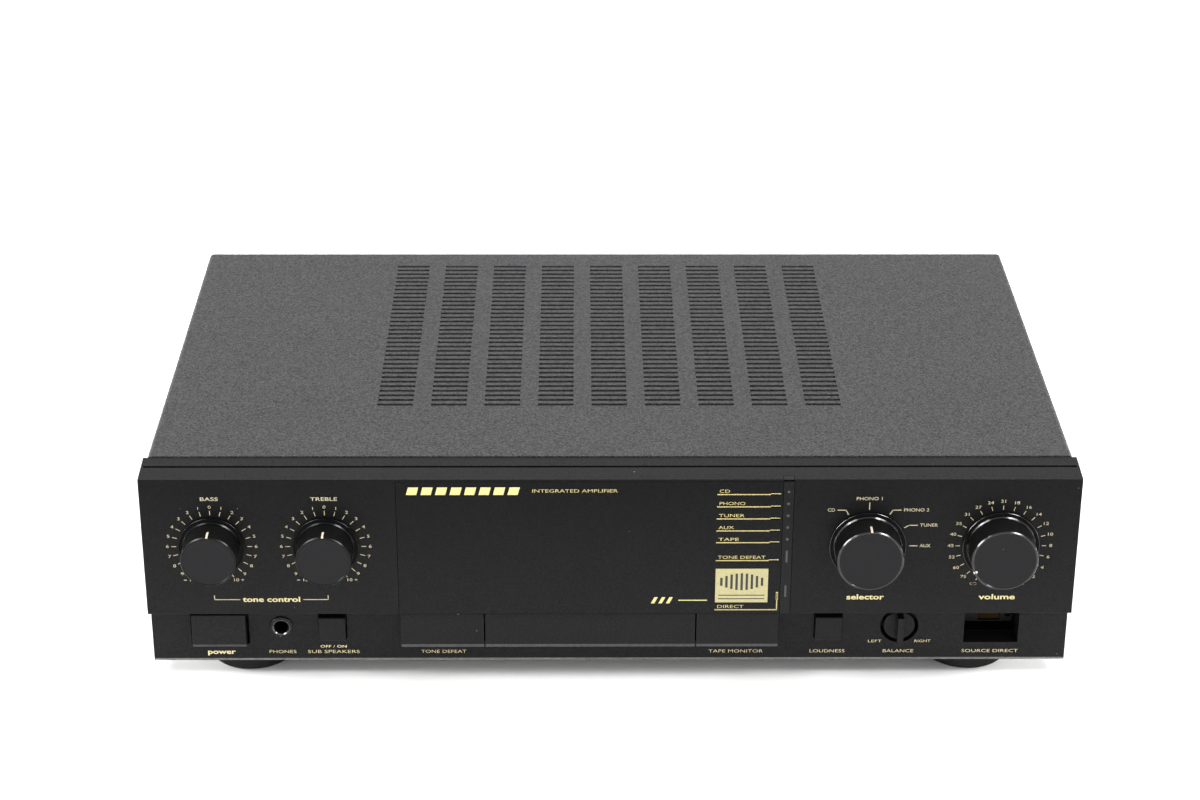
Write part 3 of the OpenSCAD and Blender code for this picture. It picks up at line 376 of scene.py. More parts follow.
# Darker brown for the board seen through the bay's slot: painted shade inside the recess.
PAINTED_SHADE_BAY_BOARD = moulded("bay_board_painted_shade", (0.055, 0.030, 0.008), 0.5, gloss=0.1)
GOLD = print_ink("print_gold", (0.42, 0.345, 0.135), 0.1)
BRIGHT_GOLD = print_ink("print_bright_gold", (0.56, 0.50, 0.20), 0.1)
NAME_GOLD = print_ink("print_name_gold", (0.62, 0.53, 0.26), 0.05)
LOWER_GOLD = print_ink("print_lower_gold", (0.80, 0.68, 0.38), 0.05)
DIAL_GOLD = print_ink("print_dial_gold", (0.44, 0.39, 0.25))
PALE_GOLD = print_ink("print_pale_gold", (0.385, 0.345, 0.166), 0.05)
CREAM = print_ink("pointer_cream", (0.60, 0.52, 0.38))
DARK_PRINT = print_ink("print_black", grey(0.012))
WHITE_PRINT = print_ink("print_white", (0.62, 0.62, 0.60))
RING_WHITE = moulded("ring_white", (0.72, 0.71, 0.66), 0.3)
RING_RED = moulded("ring_red", (0.50, 0.02, 0.015), 0.3)
GREY_LENS = moulded("lamp_lens_grey", (0.026, 0.026, 0.025), 0.3)
# Whiter ink than the cream of the other pointers, for the volume knob's real pointer line: a painted highlight in
# its colour.
POINTER_PAINTED_HIGHLIGHT = print_ink("pointer_painted_highlight", (0.85, 0.80, 0.70))

# ---------------------------------------------------------------- CAD nodes that stay

SHARP_ANGLE = math.radians(28)
FLAT_ANGLE = math.radians(0.3)
WELD_GAP = 0.002 * MM
FACE_WEIGHT = 90
TILTED, UPRIGHT = 0.15, 0.9


def rub(node, material):
    """Gives the faces of a CAD node that look forward and down a material of their own, which paints the pale
    floor's reflection on them.
    """
    mesh = NODES[node].data
    mesh.materials.append(material)
    for face in mesh.polygons:
        if face.normal.y < -TILTED and -UPRIGHT < face.normal.z < -TILTED:
            face.material_index = len(mesh.materials) - 1


def dress(node, bevel):
    """Gives a CAD node its material and, on outer parts, fine rounded edges."""
    obj = NODES[node]
    slot = next(s["material_slot"] for s in frame["record"]["subparts"] if s["node"] == node)
    obj.data.materials.clear()
    obj.data.materials.append(MATERIALS[slot])
    if not bevel:
        return
    normals = obj.data.attributes.get("custom_normal")
    if normals:
        obj.data.attributes.remove(normals)
    obj.data.polygons.foreach_set("use_smooth", [True] * len(obj.data.polygons))
    weld = obj.modifiers.new("weld", "WELD")
    weld.merge_threshold = WELD_GAP
    flat = obj.modifiers.new("flat", "DECIMATE")
    flat.decimate_type = "DISSOLVE"
    flat.angle_limit = FLAT_ANGLE
    edge = obj.modifiers.new("edge", "BEVEL")
    edge.width = bevel * MM
    edge.segments = 2
    edge.limit_method = "ANGLE"
    edge.angle_limit = SHARP_ANGLE
    edge.harden_normals = False
    edge.use_clamp_overlap = True
    shade = obj.modifiers.new("shade", "WEIGHTED_NORMAL")
    shade.weight = FACE_WEIGHT


# Width of the rounded edges of the outer parts, in millimetres.
EDGES = {
    "top_cover": 0.18, "rear_panel": 0.15, "chassis_base": 0.15, "upper_fascia": 0.22,
    "lower_fascia": 0.35, "display_window": 0.12, "indicator_strip": 0.12,
    "centre_trim": 0.18, "power_button": 0.25, "sub_speakers_button": 0.25,
    "tone_defeat_button": 0.18, "tape_monitor_button": 0.18, "loudness_button": 0.25,
    "direct_plunger": 0.2, "balance_knob": 0.2, "phones_socket": 0.3, "feet": 0.4,
    "case_screws": 0.12, "phono_jacks": 0.2, "speaker_terminal_block": 0.4,
    "mains_inlet": 0.3, "front_subframe": 0.12, "heat_sink": 0.2, "bush_nuts": 0.3,
}
TERMINAL_CAPS = {group: [f"{group}_cap_{k}" for k in (1, 2, 3, 4)] for group in ("main", "sub")}
for caps in TERMINAL_CAPS.values():
    EDGES.update(dict.fromkeys(caps, 0.2))
for node_name in NODES:
    dress(node_name, EDGES.get(node_name, 0.0))
# Painted reflection of the pale floor on the lower edges of the panel and the keys.
rub("lower_fascia", PANEL_PAINTED_REFLECTION)
rub("power_button", POWER_PAINTED_REFLECTION)
for key_name in ("centre_trim", "tone_defeat_button", "tape_monitor_button"):
    rub(key_name, KEY_PAINTED_REFLECTION)


def dull_bay():
    """Painted shade: darkens the walls of the open bay and the board behind its slot, which lie in shadow inside
    the recess.
    """
    half_width, reach = 16 * MM, 2 * MM
    low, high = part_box("direct_plunger")
    for node, material, facing in (("front_subframe", PAINTED_SHADE_WELL, False),
                                   ("control_boards", PAINTED_SHADE_BAY_BOARD, True)):
        mesh = NODES[node].data
        mesh.materials.append(material)
        for face in mesh.polygons:
            beside = abs(face.center.x - low.x) < half_width
            near = beside and face.center.y < high.y + reach
            if near and (face.normal.y < -UPRIGHT) == facing:
                face.material_index = 1


# Painted shade inside the open bay.
dull_bay()

# ---------------------------------------------------------------- mesh helpers


def add_piece(name, mesh, material, body=CHASSIS, stands_for=()):
    """Puts a finished mesh in the scene as one piece of a body."""
    obj = bpy.data.objects.new(name, mesh)
    bpy.context.scene.collection.objects.link(obj)
    if not mesh.materials:
        mesh.materials.append(material)
    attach(obj, body)
    if stands_for:
        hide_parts(*stands_for)


def to_mesh(bm, name, smooth_angle=None):
    """Finishes a bmesh: outward normals, and smooth shading below an angle."""
    bmesh.ops.recalc_face_normals(bm, faces=bm.faces)
    mesh = bpy.data.meshes.new(name)
    bm.to_mesh(mesh)
    bm.free()
    if smooth_angle is not None:
        mesh.polygons.foreach_set("use_smooth", [True] * len(mesh.polygons))
        mesh.set_sharp_from_angle(angle=math.radians(smooth_angle))
    return mesh


ON_AXIS = 1e-7
SAME_POINT = 0.001 * MM


def lathe(bm, points, x, z, sectors=128):
    """Turns (r, y) points about a line along Y; a point on the axis becomes one vertex."""
    rings = []
    for r, y in points:
        if r < ON_AXIS:
            rings.append([bm.verts.new((x, y, z))])
            continue
        ring = []
        for i in range(sectors):
            a = math.tau * i / sectors
            ring.append(bm.verts.new((x + r * math.sin(a), y, z + r * math.cos(a))))
        rings.append(ring)
    for a, b in zip(rings, rings[1:]):
        for i in range(sectors):
            j = (i + 1) % sectors
            quad = [a[i % len(a)], a[j % len(a)], b[j % len(b)], b[i % len(b)]]
            corners = list(dict.fromkeys(quad))
            if len(corners) > 2:
                bm.faces.new(corners)


# ---------------------------------------------------------------- knobs

KNOB_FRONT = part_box("bass_knob")[0].y
SKIRT_W = 2.4 * MM
KNOB_WALL = 4.4 * MM
KNOB_HOLLOW = 4 * MM
BOSS_R, BORE_R = 6 * MM, 3.05 * MM
DISC_EDGE, DISC_DEPTH = 1.0 * MM, 0.5 * MM
WELL_GAP, WELL_RIM = 0.8 * MM, 0.28 * MM
RIM_DEPTH, BARREL_GAP = 1 * MM, 0.05 * MM
POINTER_W = 0.9 * MM
POINTER_REACH = 9.0 * MM
POINTER_INSET = 1.7 * MM
POINTER_PROUD, POINTER_SUNK = 0.06 * MM, 0.1 * MM

# Profile of a knob in millimetres. The rim is measured from the side and the front face, the
# side and the bead at its foot from the side and the back, the skirt from its edge and the back.
RIM_LINE = [(-1.02, 0.12), (-0.87, 0), (-0.42, 0), (-0.08, 0.34), (0, 0.42)]
BEAD_LINE = [(0, -2.2), (0.15, -1.75), (0.3, -1.75), (0.75, -1.2), (0.8, -0.5)]
SKIRT_LINE = [(-0.4, -0.4), (-0.3, -0.8), (-0.1, -0.8), (0, -0.7), (0, 0)]


def knob_outline(node):
    """Outer (r, y) line of a knob from the middle of its face to the back of its skirt."""
    low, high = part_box(node)
    skirt_r = (high.x - low.x) / 2
    body_r = skirt_r - SKIRT_W
    line = [(0, KNOB_FRONT + RIM_LINE[0][1] * MM)]
    for points, edge_r, edge_y in ((RIM_LINE, body_r, KNOB_FRONT), (BEAD_LINE, body_r, high.y),
                                   (SKIRT_LINE, skirt_r, high.y)):
        line += [(edge_r + r * MM, edge_y + y * MM) for r, y in points]
    return line


def knob_slot(r, y, skirt_r):
    """Material index of a knob's face by its place: side, front disc, well or barrel."""
    body_r = skirt_r - SKIRT_W
    if r < body_r - DISC_EDGE and y < KNOB_FRONT + DISC_DEPTH:
        return 1
    if body_r + WELL_GAP < r < skirt_r - WELL_RIM:
        return 2
    if y > KNOB_FRONT + RIM_DEPTH and r < body_r + BARREL_GAP:
        return 3
    return 0


def make_knob(node, body, side, pointer_deg=0, pointer_ink=CREAM):
    """Knob with a satin front disc, a rim and skirt of the side material, and a pointer."""
    low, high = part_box(node)
    x, z = (low.x + high.x) / 2, (low.z + high.z) / 2
    outline = knob_outline(node)
    skirt_r = (high.x - low.x) / 2
    hollow_r = skirt_r - KNOB_WALL
    floor_y = KNOB_FRONT + KNOB_HOLLOW
    back = [(hollow_r, high.y), (hollow_r, floor_y), (BOSS_R, floor_y), (BOSS_R, high.y),
            (BORE_R, high.y), (BORE_R, floor_y), (0, floor_y)]
    bm = bmesh.new()
    lathe(bm, outline + back, x, z)
    for face in bm.faces:
        centre = face.calc_center_median()
        r = math.hypot(centre.x - x, centre.z - z)
        face.material_index = knob_slot(r, centre.y, skirt_r)
    mesh = to_mesh(bm, node + "_turned", 30)
    # The third slot, on the sunk ring, takes the painted shade.
    for material in (side, MATERIALS["knob_face"], PAINTED_SHADE_WELL, KNOB_BARREL):
        mesh.materials.append(material)
    add_piece(node + "_turned", mesh, None, body, [node])
    add_pointer(node, outline, x, z, pointer_deg, body, pointer_ink)


def add_pointer(node, outline, x, z, turn_deg, body, ink):
    """Raised line down the knob's side and over its rim, further in on a turned pointer."""
    low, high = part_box(node)
    start_y = high.y - POINTER_REACH
    body_r = (high.x - low.x) / 2 - SKIRT_W
    path = [(r, y) for r, y in outline if r > body_r - DISC_EDGE and y < start_y]
    if turn_deg:
        path.insert(0, (body_r - POINTER_INSET, KNOB_FRONT))
    path.append((body_r, start_y))
    bm = bmesh.new()
    rows = []
    for i, (r, y) in enumerate(path):
        before, after = path[max(i - 1, 0)], path[min(i + 1, len(path) - 1)]
        along = Vector((after[0] - before[0], after[1] - before[1])).normalized()
        out = Vector((along.y, -along.x))
        row = []
        for lift in (-POINTER_SUNK, POINTER_PROUD):
            for half in (-POINTER_W / 2, POINTER_W / 2):
                radius, depth = r + out.x * lift, y + out.y * lift
                row.append(bm.verts.new((half, max(depth, KNOB_FRONT), radius)))
        rows.append(row)
    for a, b in zip(rows, rows[1:]):
        for i, j in ((0, 1), (1, 3), (3, 2), (2, 0)):
            bm.faces.new((a[i], a[j], b[j], b[i]))
    bm.faces.new([rows[0][i] for i in (0, 1, 3, 2)])
    bm.faces.new([rows[-1][i] for i in (0, 1, 3, 2)])
    turn = Matrix.Rotation(math.radians(turn_deg), 4, "Y")
    bmesh.ops.transform(bm, matrix=Matrix.Translation((x, 0, z)) @ turn, verts=bm.verts)
    add_piece(node + "_pointer", to_mesh(bm, node + "_pointer"), ink, body)


VOLUME_REST_DEG = -114
# The bass and treble knobs take the duller copy, as painted shade.
make_knob("bass_knob", "bass_control", SHADED_TONE_KNOB)
make_knob("treble_knob", "treble_control", SHADED_TONE_KNOB)
make_knob("selector_knob", "selector_control", MATERIALS["knob_black"])
# The volume pointer's whiter ink is a painted highlight.
make_knob("volume_knob", "volume_control", MATERIALS["knob_black"], VOLUME_REST_DEG, POINTER_PAINTED_HIGHLIGHT)

# ---------------------------------------------------------------- printing

# Thickness of the printing, share of the font's size that a capital fills, usual stretch of
# the letters, and how much thinner or heavier than the font a word is drawn.
INK = 0.03 * MM
CAP_SHARE = 0.70
LETTER_STRETCH = 1.35
THIN, HEAVY = -0.025, 0.03
LABEL_H = 1.6 * MM
NUMBER_H = 1.5 * MM
NAME_H = 2.6 * MM
DISC_STEPS = 24
TICK_W = 0.31 * MM


class Print:
    """Marks on one flat panel that faces -Y, or +Y with back=True, as one thin mesh."""

    def __init__(self, y, back=False):
        self.bm = bmesh.new()
        self.y = y
        self.back = back

    def slab(self, outline):
        """Thin plate from a closed (x, z) outline."""
        step = INK if self.back else -INK
        inner = [self.bm.verts.new((x, self.y - step / 3, z)) for x, z in outline]
        outer = [self.bm.verts.new((x, self.y + step, z)) for x, z in outline]
        self.bm.faces.new(inner)
        self.bm.faces.new(outer)
        for i in range(len(outline)):
            j = (i + 1) % len(outline)
            self.bm.faces.new((inner[i], inner[j], outer[j], outer[i]))

    def bar(self, x, z, w, h, turn=0.0):
        """Rectangle centred on (x, z), turned clockwise by turn degrees."""
        a = math.radians(turn)
        corners = []
        for sx, sz in ((-1, -1), (1, -1), (1, 1), (-1, 1)):
            dx, dz = sx * w / 2, sz * h / 2
            corners.append((x + dx * math.cos(a) + dz * math.sin(a),
                            z - dx * math.sin(a) + dz * math.cos(a)))
        self.slab(corners)

    def disc(self, x, z, r):
        """Round dot."""
        turns = [math.tau * i / DISC_STEPS for i in range(DISC_STEPS)]
        self.slab([(x + r * math.cos(a), z + r * math.sin(a)) for a in turns])

    def line(self, points, width):
        """Joined straight strokes."""
        for (x0, z0), (x1, z1) in zip(points, points[1:]):
            length = math.hypot(x1 - x0, z1 - z0) + width
            turn = -math.degrees(math.atan2(z1 - z0, x1 - x0))
            self.bar((x0 + x1) / 2, (z0 + z1) / 2, length, width, turn)

    def text(self, words, x, z, height, width=None, bold=0.0, align="CENTER"):
        """Plain letters of a capital height, drawn out to a width if one is given."""
        curve = bpy.data.curves.new("words", "FONT")
        curve.body = words
        curve.size = height / CAP_SHARE
        curve.align_x = align
        curve.align_y = "CENTER"
        curve.offset = bold * height
        curve.extrude = INK
        curve.resolution_u = 3
        obj = bpy.data.objects.new("words", curve)
        bpy.context.scene.collection.objects.link(obj)
        bpy.context.view_layer.update()
        mesh = bpy.data.meshes.new_from_object(obj.evaluated_get(
            bpy.context.evaluated_depsgraph_get()))
        across = [v.co.x for v in mesh.vertices]
        stretch = width / (max(across) - min(across)) if width else LETTER_STRETCH
        upright = Matrix.Rotation(math.radians(90), 4, "X")
        facing = Matrix.Rotation(math.pi, 4, "Z") if self.back else Matrix.Identity(4)
        wide = Matrix.Diagonal((stretch, 1, 1, 1))
        mesh.transform(Matrix.Translation((x, self.y, z)) @ facing @ upright @ wide)
        self.bm.from_mesh(mesh)
        bpy.data.objects.remove(obj)
        bpy.data.curves.remove(curve)
        bpy.data.meshes.remove(mesh)

    def done(self, name, material, slot):
        """Puts the finished sheet in the scene as one piece of the chassis."""
        add_piece(name, to_mesh(self.bm, name), material)


def around(centre, radius, degrees):
    """Point at a clock angle round a centre, in the panel's plane."""
    a = math.radians(degrees)
    return centre[0] + radius * math.sin(a), centre[1] + radius * math.cos(a)


DIAL_STEP = 15
DIAL_END = 150
TONE_TICK_R, TONE_NUMBER_R = 17.0 * MM, 19.9 * MM
VOLUME_TICK_R, VOLUME_NUMBER_R = 19.4 * MM, 22.5 * MM


def tick(sheet, centre, radius, length, degrees):
    """Short mark that points at the dial's centre."""
    x, z = around(centre, radius, degrees)
    sheet.bar(x, z, TICK_W, length, degrees)


def tone_dial(sheet, centre, words):
    """Twenty-one marks numbered 10-0-10, with a minus and a plus at the ends."""
    for degrees in range(-DIAL_END, DIAL_END + 1, DIAL_STEP):
        tick(sheet, centre, TONE_TICK_R, 2.2 * MM, degrees)
        number = abs(degrees) // DIAL_STEP
        x, z = around(centre, TONE_NUMBER_R, degrees)
        sheet.text(str(number), x, z, NUMBER_H)
    x, z = around(centre, TONE_NUMBER_R, DIAL_END)
    sign_gap = 3.0 * MM
    sheet.text("+", x + sign_gap, z, NUMBER_H)
    sheet.bar(2 * centre[0] - x - sign_gap, z, 1.3 * MM, 0.4 * MM)
    sheet.text(words, centre[0], centre[1] + 23.9 * MM, 1.75 * MM, 2.0 * MM * len(words), 0.01)


VOLUME_MARKS = ["75", "60", "52", "45", "40", "35", "31", "27", "24", "21", "18", "16",
                "14", "12", "10", "8", "6", "4", "2", "0"]


def volume_dial(sheet, centre):
    """Attenuation marks from infinity to zero, one every 15 degrees."""
    for degrees in range(-DIAL_END, DIAL_END + 1, DIAL_STEP):
        tick(sheet, centre, VOLUME_TICK_R, 2.0 * MM, degrees)
    for i, number in enumerate(VOLUME_MARKS):
        x, z = around(centre, VOLUME_NUMBER_R, -DIAL_END + DIAL_STEP * (i + 1))
        sheet.text(number, x, z, NUMBER_H)
    x, z = around(centre, VOLUME_NUMBER_R, -DIAL_END)
    turns = [math.tau * i / 12 for i in range(13)]
    for side in (-1, 1):
        ring = [(x + side * 0.72 * MM + 0.7 * MM * math.cos(a), z + 0.6 * MM * math.sin(a))
                for a in turns]
        sheet.line(ring, 0.28 * MM)


def selector_dial(sheet, centre):
    """Five positions, each with a short lead out to its name."""
    stroke = 0.42 * MM
    reach = 18.6 * MM
    names = {-30: "CD", 0: "PHONO 1", 30: "PHONO 2", 60: "TUNER", 90: "AUX"}
    for degrees, words in names.items():
        inner = around(centre, reach, degrees)
        if degrees == 0:
            sheet.line([inner, (inner[0], inner[1] + 3.2 * MM)], stroke)
            sheet.text(words, inner[0], inner[1] + 5.3 * MM, LABEL_H, 11.5 * MM)
            continue
        side = math.copysign(1, degrees)
        knee = around(centre, reach + (0 if degrees == 90 else 2.4 * MM), degrees)
        end = (knee[0] + side * 3.6 * MM, knee[1])
        sheet.line([inner, knee, end], stroke)
        align = "LEFT" if side > 0 else "RIGHT"
        sheet.text(words, end[0] + side * 1.2 * MM, end[1], LABEL_H, 1.6 * MM * len(words),
                   align=align)


def upper_printing():
    """Dials and names on the upper panel."""
    sheet = Print(FACE_Y)
    tone_dial(sheet, BASS, "BASS")
    tone_dial(sheet, TREBLE, "TREBLE")
    volume_dial(sheet, VOLUME)
    selector_dial(sheet, SELECTOR)
    sheet.done("dial_printing", DIAL_GOLD, "fascia_black")

    names = Print(FACE_Y)
    name_z = FACE_BOTTOM + 7.7 * MM
    middle_x = (BASS[0] + TREBLE[0]) / 2
    right_z = name_z + 0.9 * MM
    names.text("tone control", middle_x, name_z, NAME_H, 26 * MM, HEAVY)
    names.text("selector", SELECTOR[0], right_z, NAME_H, 17 * MM, HEAVY)
    names.text("volume", VOLUME[0], right_z, NAME_H, 16.5 * MM, HEAVY)
    names.done("name_printing", NAME_GOLD, "fascia_black")

    bracket = Print(FACE_Y)
    gap = 14.4 * MM
    for side, end_x in ((-1, BASS[0] - 0.3 * MM), (1, TREBLE[0])):
        bracket.line([(middle_x + side * gap, name_z), (end_x, name_z),
                      (end_x, name_z + 2.0 * MM)], 0.34 * MM)
    bracket.done("tone_bracket", DIAL_GOLD, "fascia_black")


def slanted_blocks(sheet, count, x, z, step, width, slant, height):
    """Row of blocks that lean to the right, from x on, centred on z."""
    low_z, high_z = z - height / 2, z + height / 2
    for i in range(count):
        left = x + i * step
        sheet.slab([(left, low_z), (left + width, low_z),
                    (left + width + slant, high_z), (left + slant, high_z)])


def window_printing():
    """Source list, blank badge and plain ornament on the display window."""
    low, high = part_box("display_window")
    right = high.x - 1.0 * MM
    left = right - 28.4 * MM
    rule, inset = 0.5 * MM, 0.9 * MM
    rows = {"CD": 6.4, "PHONO": 12.6, "TUNER": 18.7, "AUX": 24.8, "TAPE": 30.8,
            "TONE DEFEAT": 40.0}
    lines, names, bright = Print(low.y), Print(low.y), Print(low.y)
    for words, drop in rows.items():
        z = FACE_TOP - drop * MM
        lines.bar((left + right) / 2, z, right - left, rule)
        bright.bar(right - 2.2 * MM, z + 0.15 * MM, 4.4 * MM, 0.8 * MM)
        width = (1.95 if " " in words else 2.3) * MM * len(words)
        names.text(words, left + inset, z + 1.6 * MM, LABEL_H, width, align="LEFT")

    badge_x, badge_z = left + 12.0 * MM, FACE_BOTTOM + 14.7 * MM
    badge_w, badge_h = 23.8 * MM, 17.4 * MM
    badge = Print(low.y)
    badge.bar(badge_x, badge_z, badge_w, badge_h)
    badge.done("window_badge", PALE_GOLD, "window_black")
    pattern = Print(low.y - INK)
    bars = 9
    for i in range(bars):
        tall = (3.2 + 5.6 * math.sin(math.pi * (i + 0.5) / bars)) * MM
        pattern.bar(badge_x + (i - bars // 2) * 2.3 * MM, badge_z + 2.0 * MM, 1.1 * MM, tall)
    for k in range(2):
        pattern.bar(badge_x, badge_z - (5.0 + 1.8 * k) * MM, 21.0 * MM, 0.45 * MM)
    pattern.done("badge_pattern", DARK_PRINT, "window_black")

    corner_z = FACE_BOTTOM + 2.1 * MM
    lines.bar((left + right) / 2, corner_z, right - left, rule)
    lines.bar(right - rule / 2, corner_z + 4.4 * MM, rule, 8.8 * MM)
    bright.bar(right - rule / 2, corner_z + 7.2 * MM, 0.9 * MM, 4.0 * MM)
    names.text("DIRECT", left + inset, corner_z + 1.6 * MM, LABEL_H, 12 * MM, align="LEFT")
    lines.done("window_lines", GOLD, "window_black")

    ornament_x, ornament_z = low.x + 4.6 * MM, FACE_TOP - 4.6 * MM
    slanted_blocks(bright, 8, ornament_x, ornament_z, 6.45 * MM, 4.6 * MM, 1.0 * MM, 3.8 * MM)
    names.text("INTEGRATED AMPLIFIER", ornament_x + 56 * MM, ornament_z, LABEL_H, 38 * MM,
               align="LEFT")
    names.done("window_names", GOLD, "window_black")
    mark_x, mark_z = left - 29 * MM, FACE_BOTTOM + 7.1 * MM
    slanted_blocks(bright, 3, mark_x, mark_z, 3.4 * MM, 1.6 * MM, 1.6 * MM, 3.2 * MM)
    bright.bar(mark_x + 19 * MM, mark_z, 13 * MM, rule)
    bright.done("window_bright_marks", BRIGHT_GOLD, "window_black")


def lamp_marks():
    """Five lenses and two bars in the indicator strip."""
    low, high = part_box("indicator_strip")
    x = (low.x + high.x) / 2
    lenses = Print(low.y)
    first_drop, pitch, lens_r = 5.1 * MM, 6.0 * MM, 0.65 * MM
    for i in range(5):
        lenses.disc(x, FACE_TOP - first_drop - pitch * i, lens_r)
    for drop in (37.9, 55.8):
        lenses.bar(x, FACE_TOP - drop * MM, 0.9 * MM, 6.0 * MM)
    lenses.done("indicator_lenses", GREY_LENS, "strip_smoke")


def lower_printing():
    """Names under the lower controls."""
    sheet = Print(LOWER_Y)
    name_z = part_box("lower_fascia")[0].z + 4.75 * MM
    # Middle of each name along X, and its width in millimetres.
    labels = {
        "PHONES": (middle("phones_socket").x, 12.3),
        "SUB SPEAKERS": (middle("sub_speakers_button").x, 23.7),
        "TONE DEFEAT": (middle("tone_defeat_button").x, 20.7),
        "TAPE MONITOR": (middle("tape_monitor_button").x, 25.0),
        "LOUDNESS": (middle("loudness_button").x, 16.0),
        "BALANCE": (BALANCE[0], 14.0),
        "SOURCE DIRECT": (VOLUME[0], 26.0),
    }
    for words, (x, width) in labels.items():
        sheet.text(words, x, name_z, 1.65 * MM, width * MM, THIN)
    for side, words, width in ((-1, "LEFT", 6.2), (1, "RIGHT", 7.4)):
        x = BALANCE[0] + side * 11 * MM
        sheet.text(words, x, BALANCE[1] - 8.3 * MM, 1.4 * MM, width * MM, THIN)
    switch_x, switch_z = middle("sub_speakers_button").x, name_z + 2.8 * MM
    sheet.text("OFF / ON", switch_x, switch_z, 1.3 * MM, 12 * MM)
    sheet.done("lower_printing", LOWER_GOLD, "fascia_black")
    power = Print(LOWER_Y)
    power.text("power", middle("power_button").x, name_z, 2.4 * MM, 12.8 * MM, HEAVY)
    power.done("power_printing", LOWER_GOLD, "fascia_black")


def rear_printing():
    """Plain names, polarity marks and rules on the rear panel."""
    sheet = Print(REAR_Y, back=True)
    jacks = [m for m in frame["record"]["mounts"] if m["name"].startswith("phono_")]
    columns = sorted({round(m["pos_m"][0], 5) for m in jacks}, reverse=True)
    rows = sorted({m["pos_m"][2] for m in jacks})
    top_z = rows[-1] + 9.5 * MM
    names = ("1", "2", "3", "4", "IN", "OUT", "IN", "OUT")
    for x, words in zip(columns, names):
        sheet.text(words, x, top_z, 2.2 * MM)
        sheet.bar(x, top_z - 2.4 * MM, 10 * MM, 0.3 * MM)
    for z, words in zip(rows, ("R", "L")):
        sheet.text(words, columns[0] + 9 * MM, z, 2.4 * MM)
    for first, last, words in ((0, 3, "INPUTS"), (4, 5, "TAPE 1"), (6, 7, "TAPE 2")):
        sheet.text(words, (columns[first] + columns[last]) / 2, top_z + 5.5 * MM, NAME_H)
    low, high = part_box("speaker_terminal_block")
    sheet.text("SPEAKERS", (low.x + high.x) / 2, high.z + 4.5 * MM, 2.8 * MM)
    inlet_x, inlet_top = middle("mains_inlet").x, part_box("mains_inlet")[1].z
    sheet.text("AC IN", inlet_x, inlet_top + 4.5 * MM, NAME_H)
    sheet.done("rear_printing", WHITE_PRINT, "panel_paint")

    block = Print(high.y, back=True)
    for group, words in (("main", "A"), ("sub", "B")):
        caps = [middle(node) for node in TERMINAL_CAPS[group]]
        for sign, cap in zip("+--+", caps):
            block.text(sign, cap.x + 8.6 * MM, cap.z + 4.2 * MM, NAME_H)
        block.text(words, (caps[1].x + caps[2].x) / 2, caps[0].z, 3.0 * MM)
    block.done("terminal_printing", WHITE_PRINT, "socket_black")


def jack_rings():
    """Coloured insulating washer under each phono socket."""
    inner, outer, chamfer = 4.65 * MM, 6.1 * MM, 0.2 * MM
    top_y = REAR_Y + 0.5 * MM
    profile = [(inner, REAR_Y), (inner, top_y), (outer - chamfer, top_y),
               (outer, top_y - chamfer), (outer, REAR_Y), (inner, REAR_Y)]
    for name, material in (("upper", RING_WHITE), ("lower", RING_RED)):
        bm = bmesh.new()
        for mount in frame["record"]["mounts"]:
            if mount["name"].startswith("phono_") and mount["name"].endswith(name):
                lathe(bm, profile, mount["pos_m"][0], mount["pos_m"][2], 48)
        bmesh.ops.remove_doubles(bm, verts=bm.verts, dist=SAME_POINT)
        add_piece("jack_rings_" + name, to_mesh(bm, "jack_rings", 35), material)


def phones_lip():
    """Glossy sloping lip round the mouth of the headphone socket."""
    centre = middle("phones_socket")
    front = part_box("phones_socket")[0].y
    bore, slope = 3.27 * MM, 0.5 * MM
    crest = bore + slope
    outer = crest + 0.25 * MM
    top_y, root_y = front - 0.3 * MM, front + 0.4 * MM
    bm = bmesh.new()
    lathe(bm, [(bore, root_y), (bore, top_y + slope), (crest, top_y), (outer, top_y),
               (outer + 0.1 * MM, front), (outer, root_y), (bore, root_y)],
          centre.x, centre.z, 64)
    bmesh.ops.remove_doubles(bm, verts=bm.verts, dist=SAME_POINT)
    add_piece("phones_lip", to_mesh(bm, "phones_lip", 35), GLOSS_EDGE)


upper_printing()
window_printing()
lamp_marks()
lower_printing()
rear_printing()
jack_rings()
phones_lip()

# ---------------------------------------------------------------- stage, light, camera

LIGHT_AIM_Z = 0.05
CAMERA_PITCH, CAMERA_YAW, CAMERA_ROLL = 25.743, -0.528, 0.194
CAMERA_X, CAMERA_BACK, CAMERA_Z = -0.0149, 1.0743, 0.6638
CAMERA_SENSOR, CAMERA_LENS = 36.0, 81.8


def add_floor():
    """Plain pale floor, a stage prop rather than a piece."""
    bm = bmesh.new()
    half = 4.0
    corners = [bm.verts.new((sx * half, sy * half, 0)) for sx, sy in
               ((-1, -1), (1, -1), (1, 1), (-1, 1))]
    bm.faces.new(corners)
    floor = bpy.data.objects.new("floor", to_mesh(bm, "floor"))
    bpy.context.scene.collection.objects.link(floor)
    paper = Shader("floor_paper", (0.90, 0.90, 0.895), 0.7).mottle(0.3, 0.01)
    floor.data.materials.append(paper.set(Specular_IOR_Level=0.1).material)


def add_softbox(name, place, size, power, diffuse=True, glossy=True):
    """Area light of size (across, up), aimed at the middle of the object."""
    light = bpy.data.lights.new(name, "AREA")
    light.shape = "RECTANGLE"
    light.size, light.size_y = size
    light.energy = power
    obj = bpy.data.objects.new(name, light)
    obj.location = place
    aim = Vector((0, 0, LIGHT_AIM_Z)) - Vector(place)
    obj.rotation_euler = aim.to_track_quat("-Z", "Y").to_euler()
    obj.visible_diffuse = diffuse
    obj.visible_glossy = glossy
    bpy.context.scene.collection.objects.link(obj)


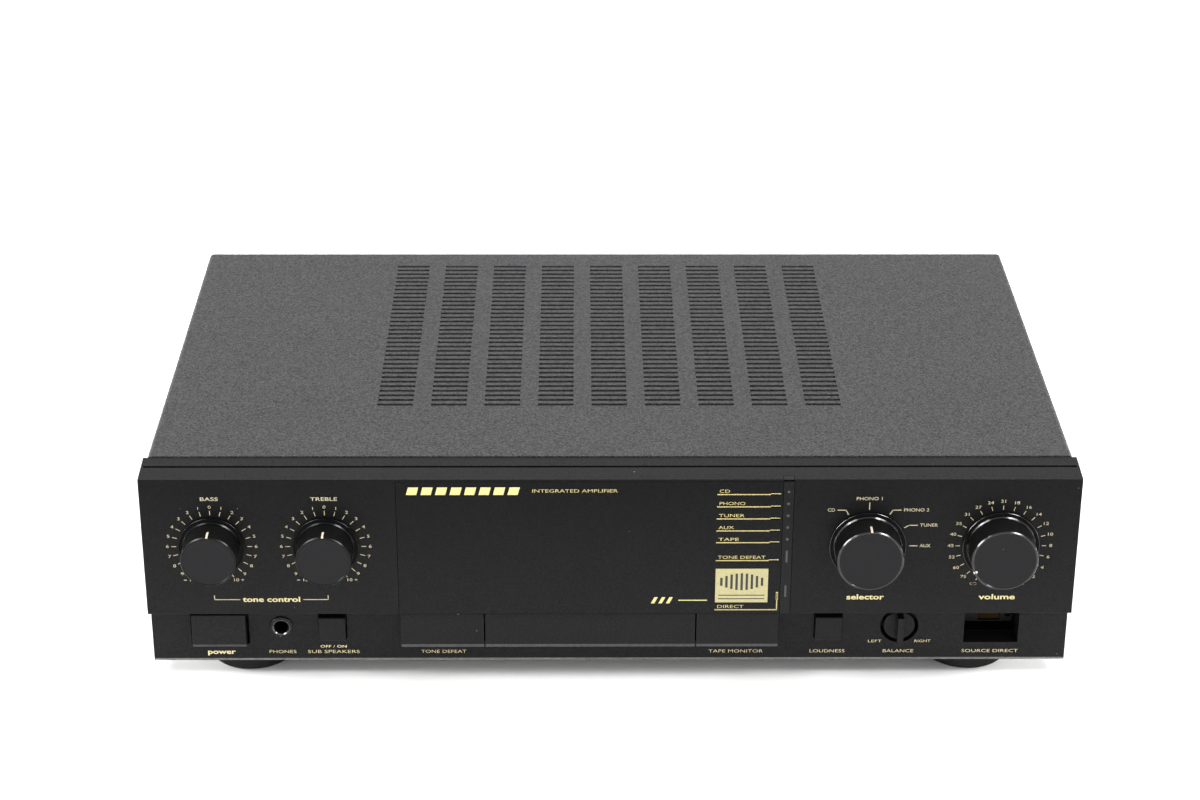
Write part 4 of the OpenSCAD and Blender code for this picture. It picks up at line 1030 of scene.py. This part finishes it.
def add_world():
    """White room, brightest low down and in front."""
    world = bpy.data.worlds.new("studio")
    world.use_nodes = True
    tree = world.node_tree
    background = tree.nodes["Background"]
    background.inputs["Color"].default_value = (1.0, 1.0, 1.0, 1.0)
    place = tree.nodes.new("ShaderNodeTexCoord")
    split = tree.nodes.new("ShaderNodeSeparateXYZ")
    tree.links.new(place.outputs["Generated"], split.inputs[0])
    both = tree.nodes.new("ShaderNodeMath")
    both.operation = "MULTIPLY"
    ranges = (("Z", 0.0, 0.6, 1.30, 0.55), ("Y", -0.6, 0.6, 1.5, 1.0))
    for i, (axis, start, end, first, last) in enumerate(ranges):
        ramp = tree.nodes.new("ShaderNodeMapRange")
        tree.links.new(split.outputs[axis], ramp.inputs["Value"])
        tree.links.new(ramp.outputs[0], both.inputs[i])
        for key, number in (("From Min", start), ("From Max", end), ("To Min", first),
                            ("To Max", last)):
            ramp.inputs[key].default_value = number
    tree.links.new(both.outputs[0], background.inputs["Strength"])
    bpy.context.scene.world = world


def add_light():
    """Soft key lights from both sides, strips seen only in gloss, and low floor lights."""
    add_world()
    add_softbox("left_softbox", (-1.5, -1.0, 2.2), (0.9, 0.9), 32)
    add_softbox("right_softbox", (1.6, -0.9, 2.2), (0.9, 0.9), 34)
    add_softbox("top_softbox", (0.0, 0.5, 2.6), (2.0, 1.6), 30)
    add_softbox("left_strip", (-1.46, -0.87, 0.95), (0.35, 1.2), 42, diffuse=False)
    add_softbox("right_strip", (1.18, -0.86, 1.36), (0.35, 1.2), 46, diffuse=False)
    for side, name in ((-1, "left_low_box"), (1, "right_low_box")):
        add_softbox(name, (side * 1.6, 0.2, 0.3), (0.9, 0.35), 62, glossy=False)


def add_camera():
    """Long lens, looking down at the front from a little to the left of the middle."""
    camera = bpy.data.cameras.new("camera")
    camera.sensor_width = CAMERA_SENSOR
    camera.lens = CAMERA_LENS
    camera.clip_end = 20.0
    obj = bpy.data.objects.new("camera", camera)
    bpy.context.scene.collection.objects.link(obj)
    place = Matrix.Translation((CAMERA_X, FACE_Y - CAMERA_BACK, CAMERA_Z))
    aim = (Matrix.Rotation(math.radians(CAMERA_YAW), 4, "Z")
           @ Matrix.Rotation(math.radians(90 - CAMERA_PITCH), 4, "X")
           @ Matrix.Rotation(math.radians(CAMERA_ROLL), 4, "Z"))
    obj.matrix_world = place @ aim
    bpy.context.scene.camera = obj


add_floor()
add_light()
add_camera()
bpy.context.scene.view_settings.view_transform = "Standard"
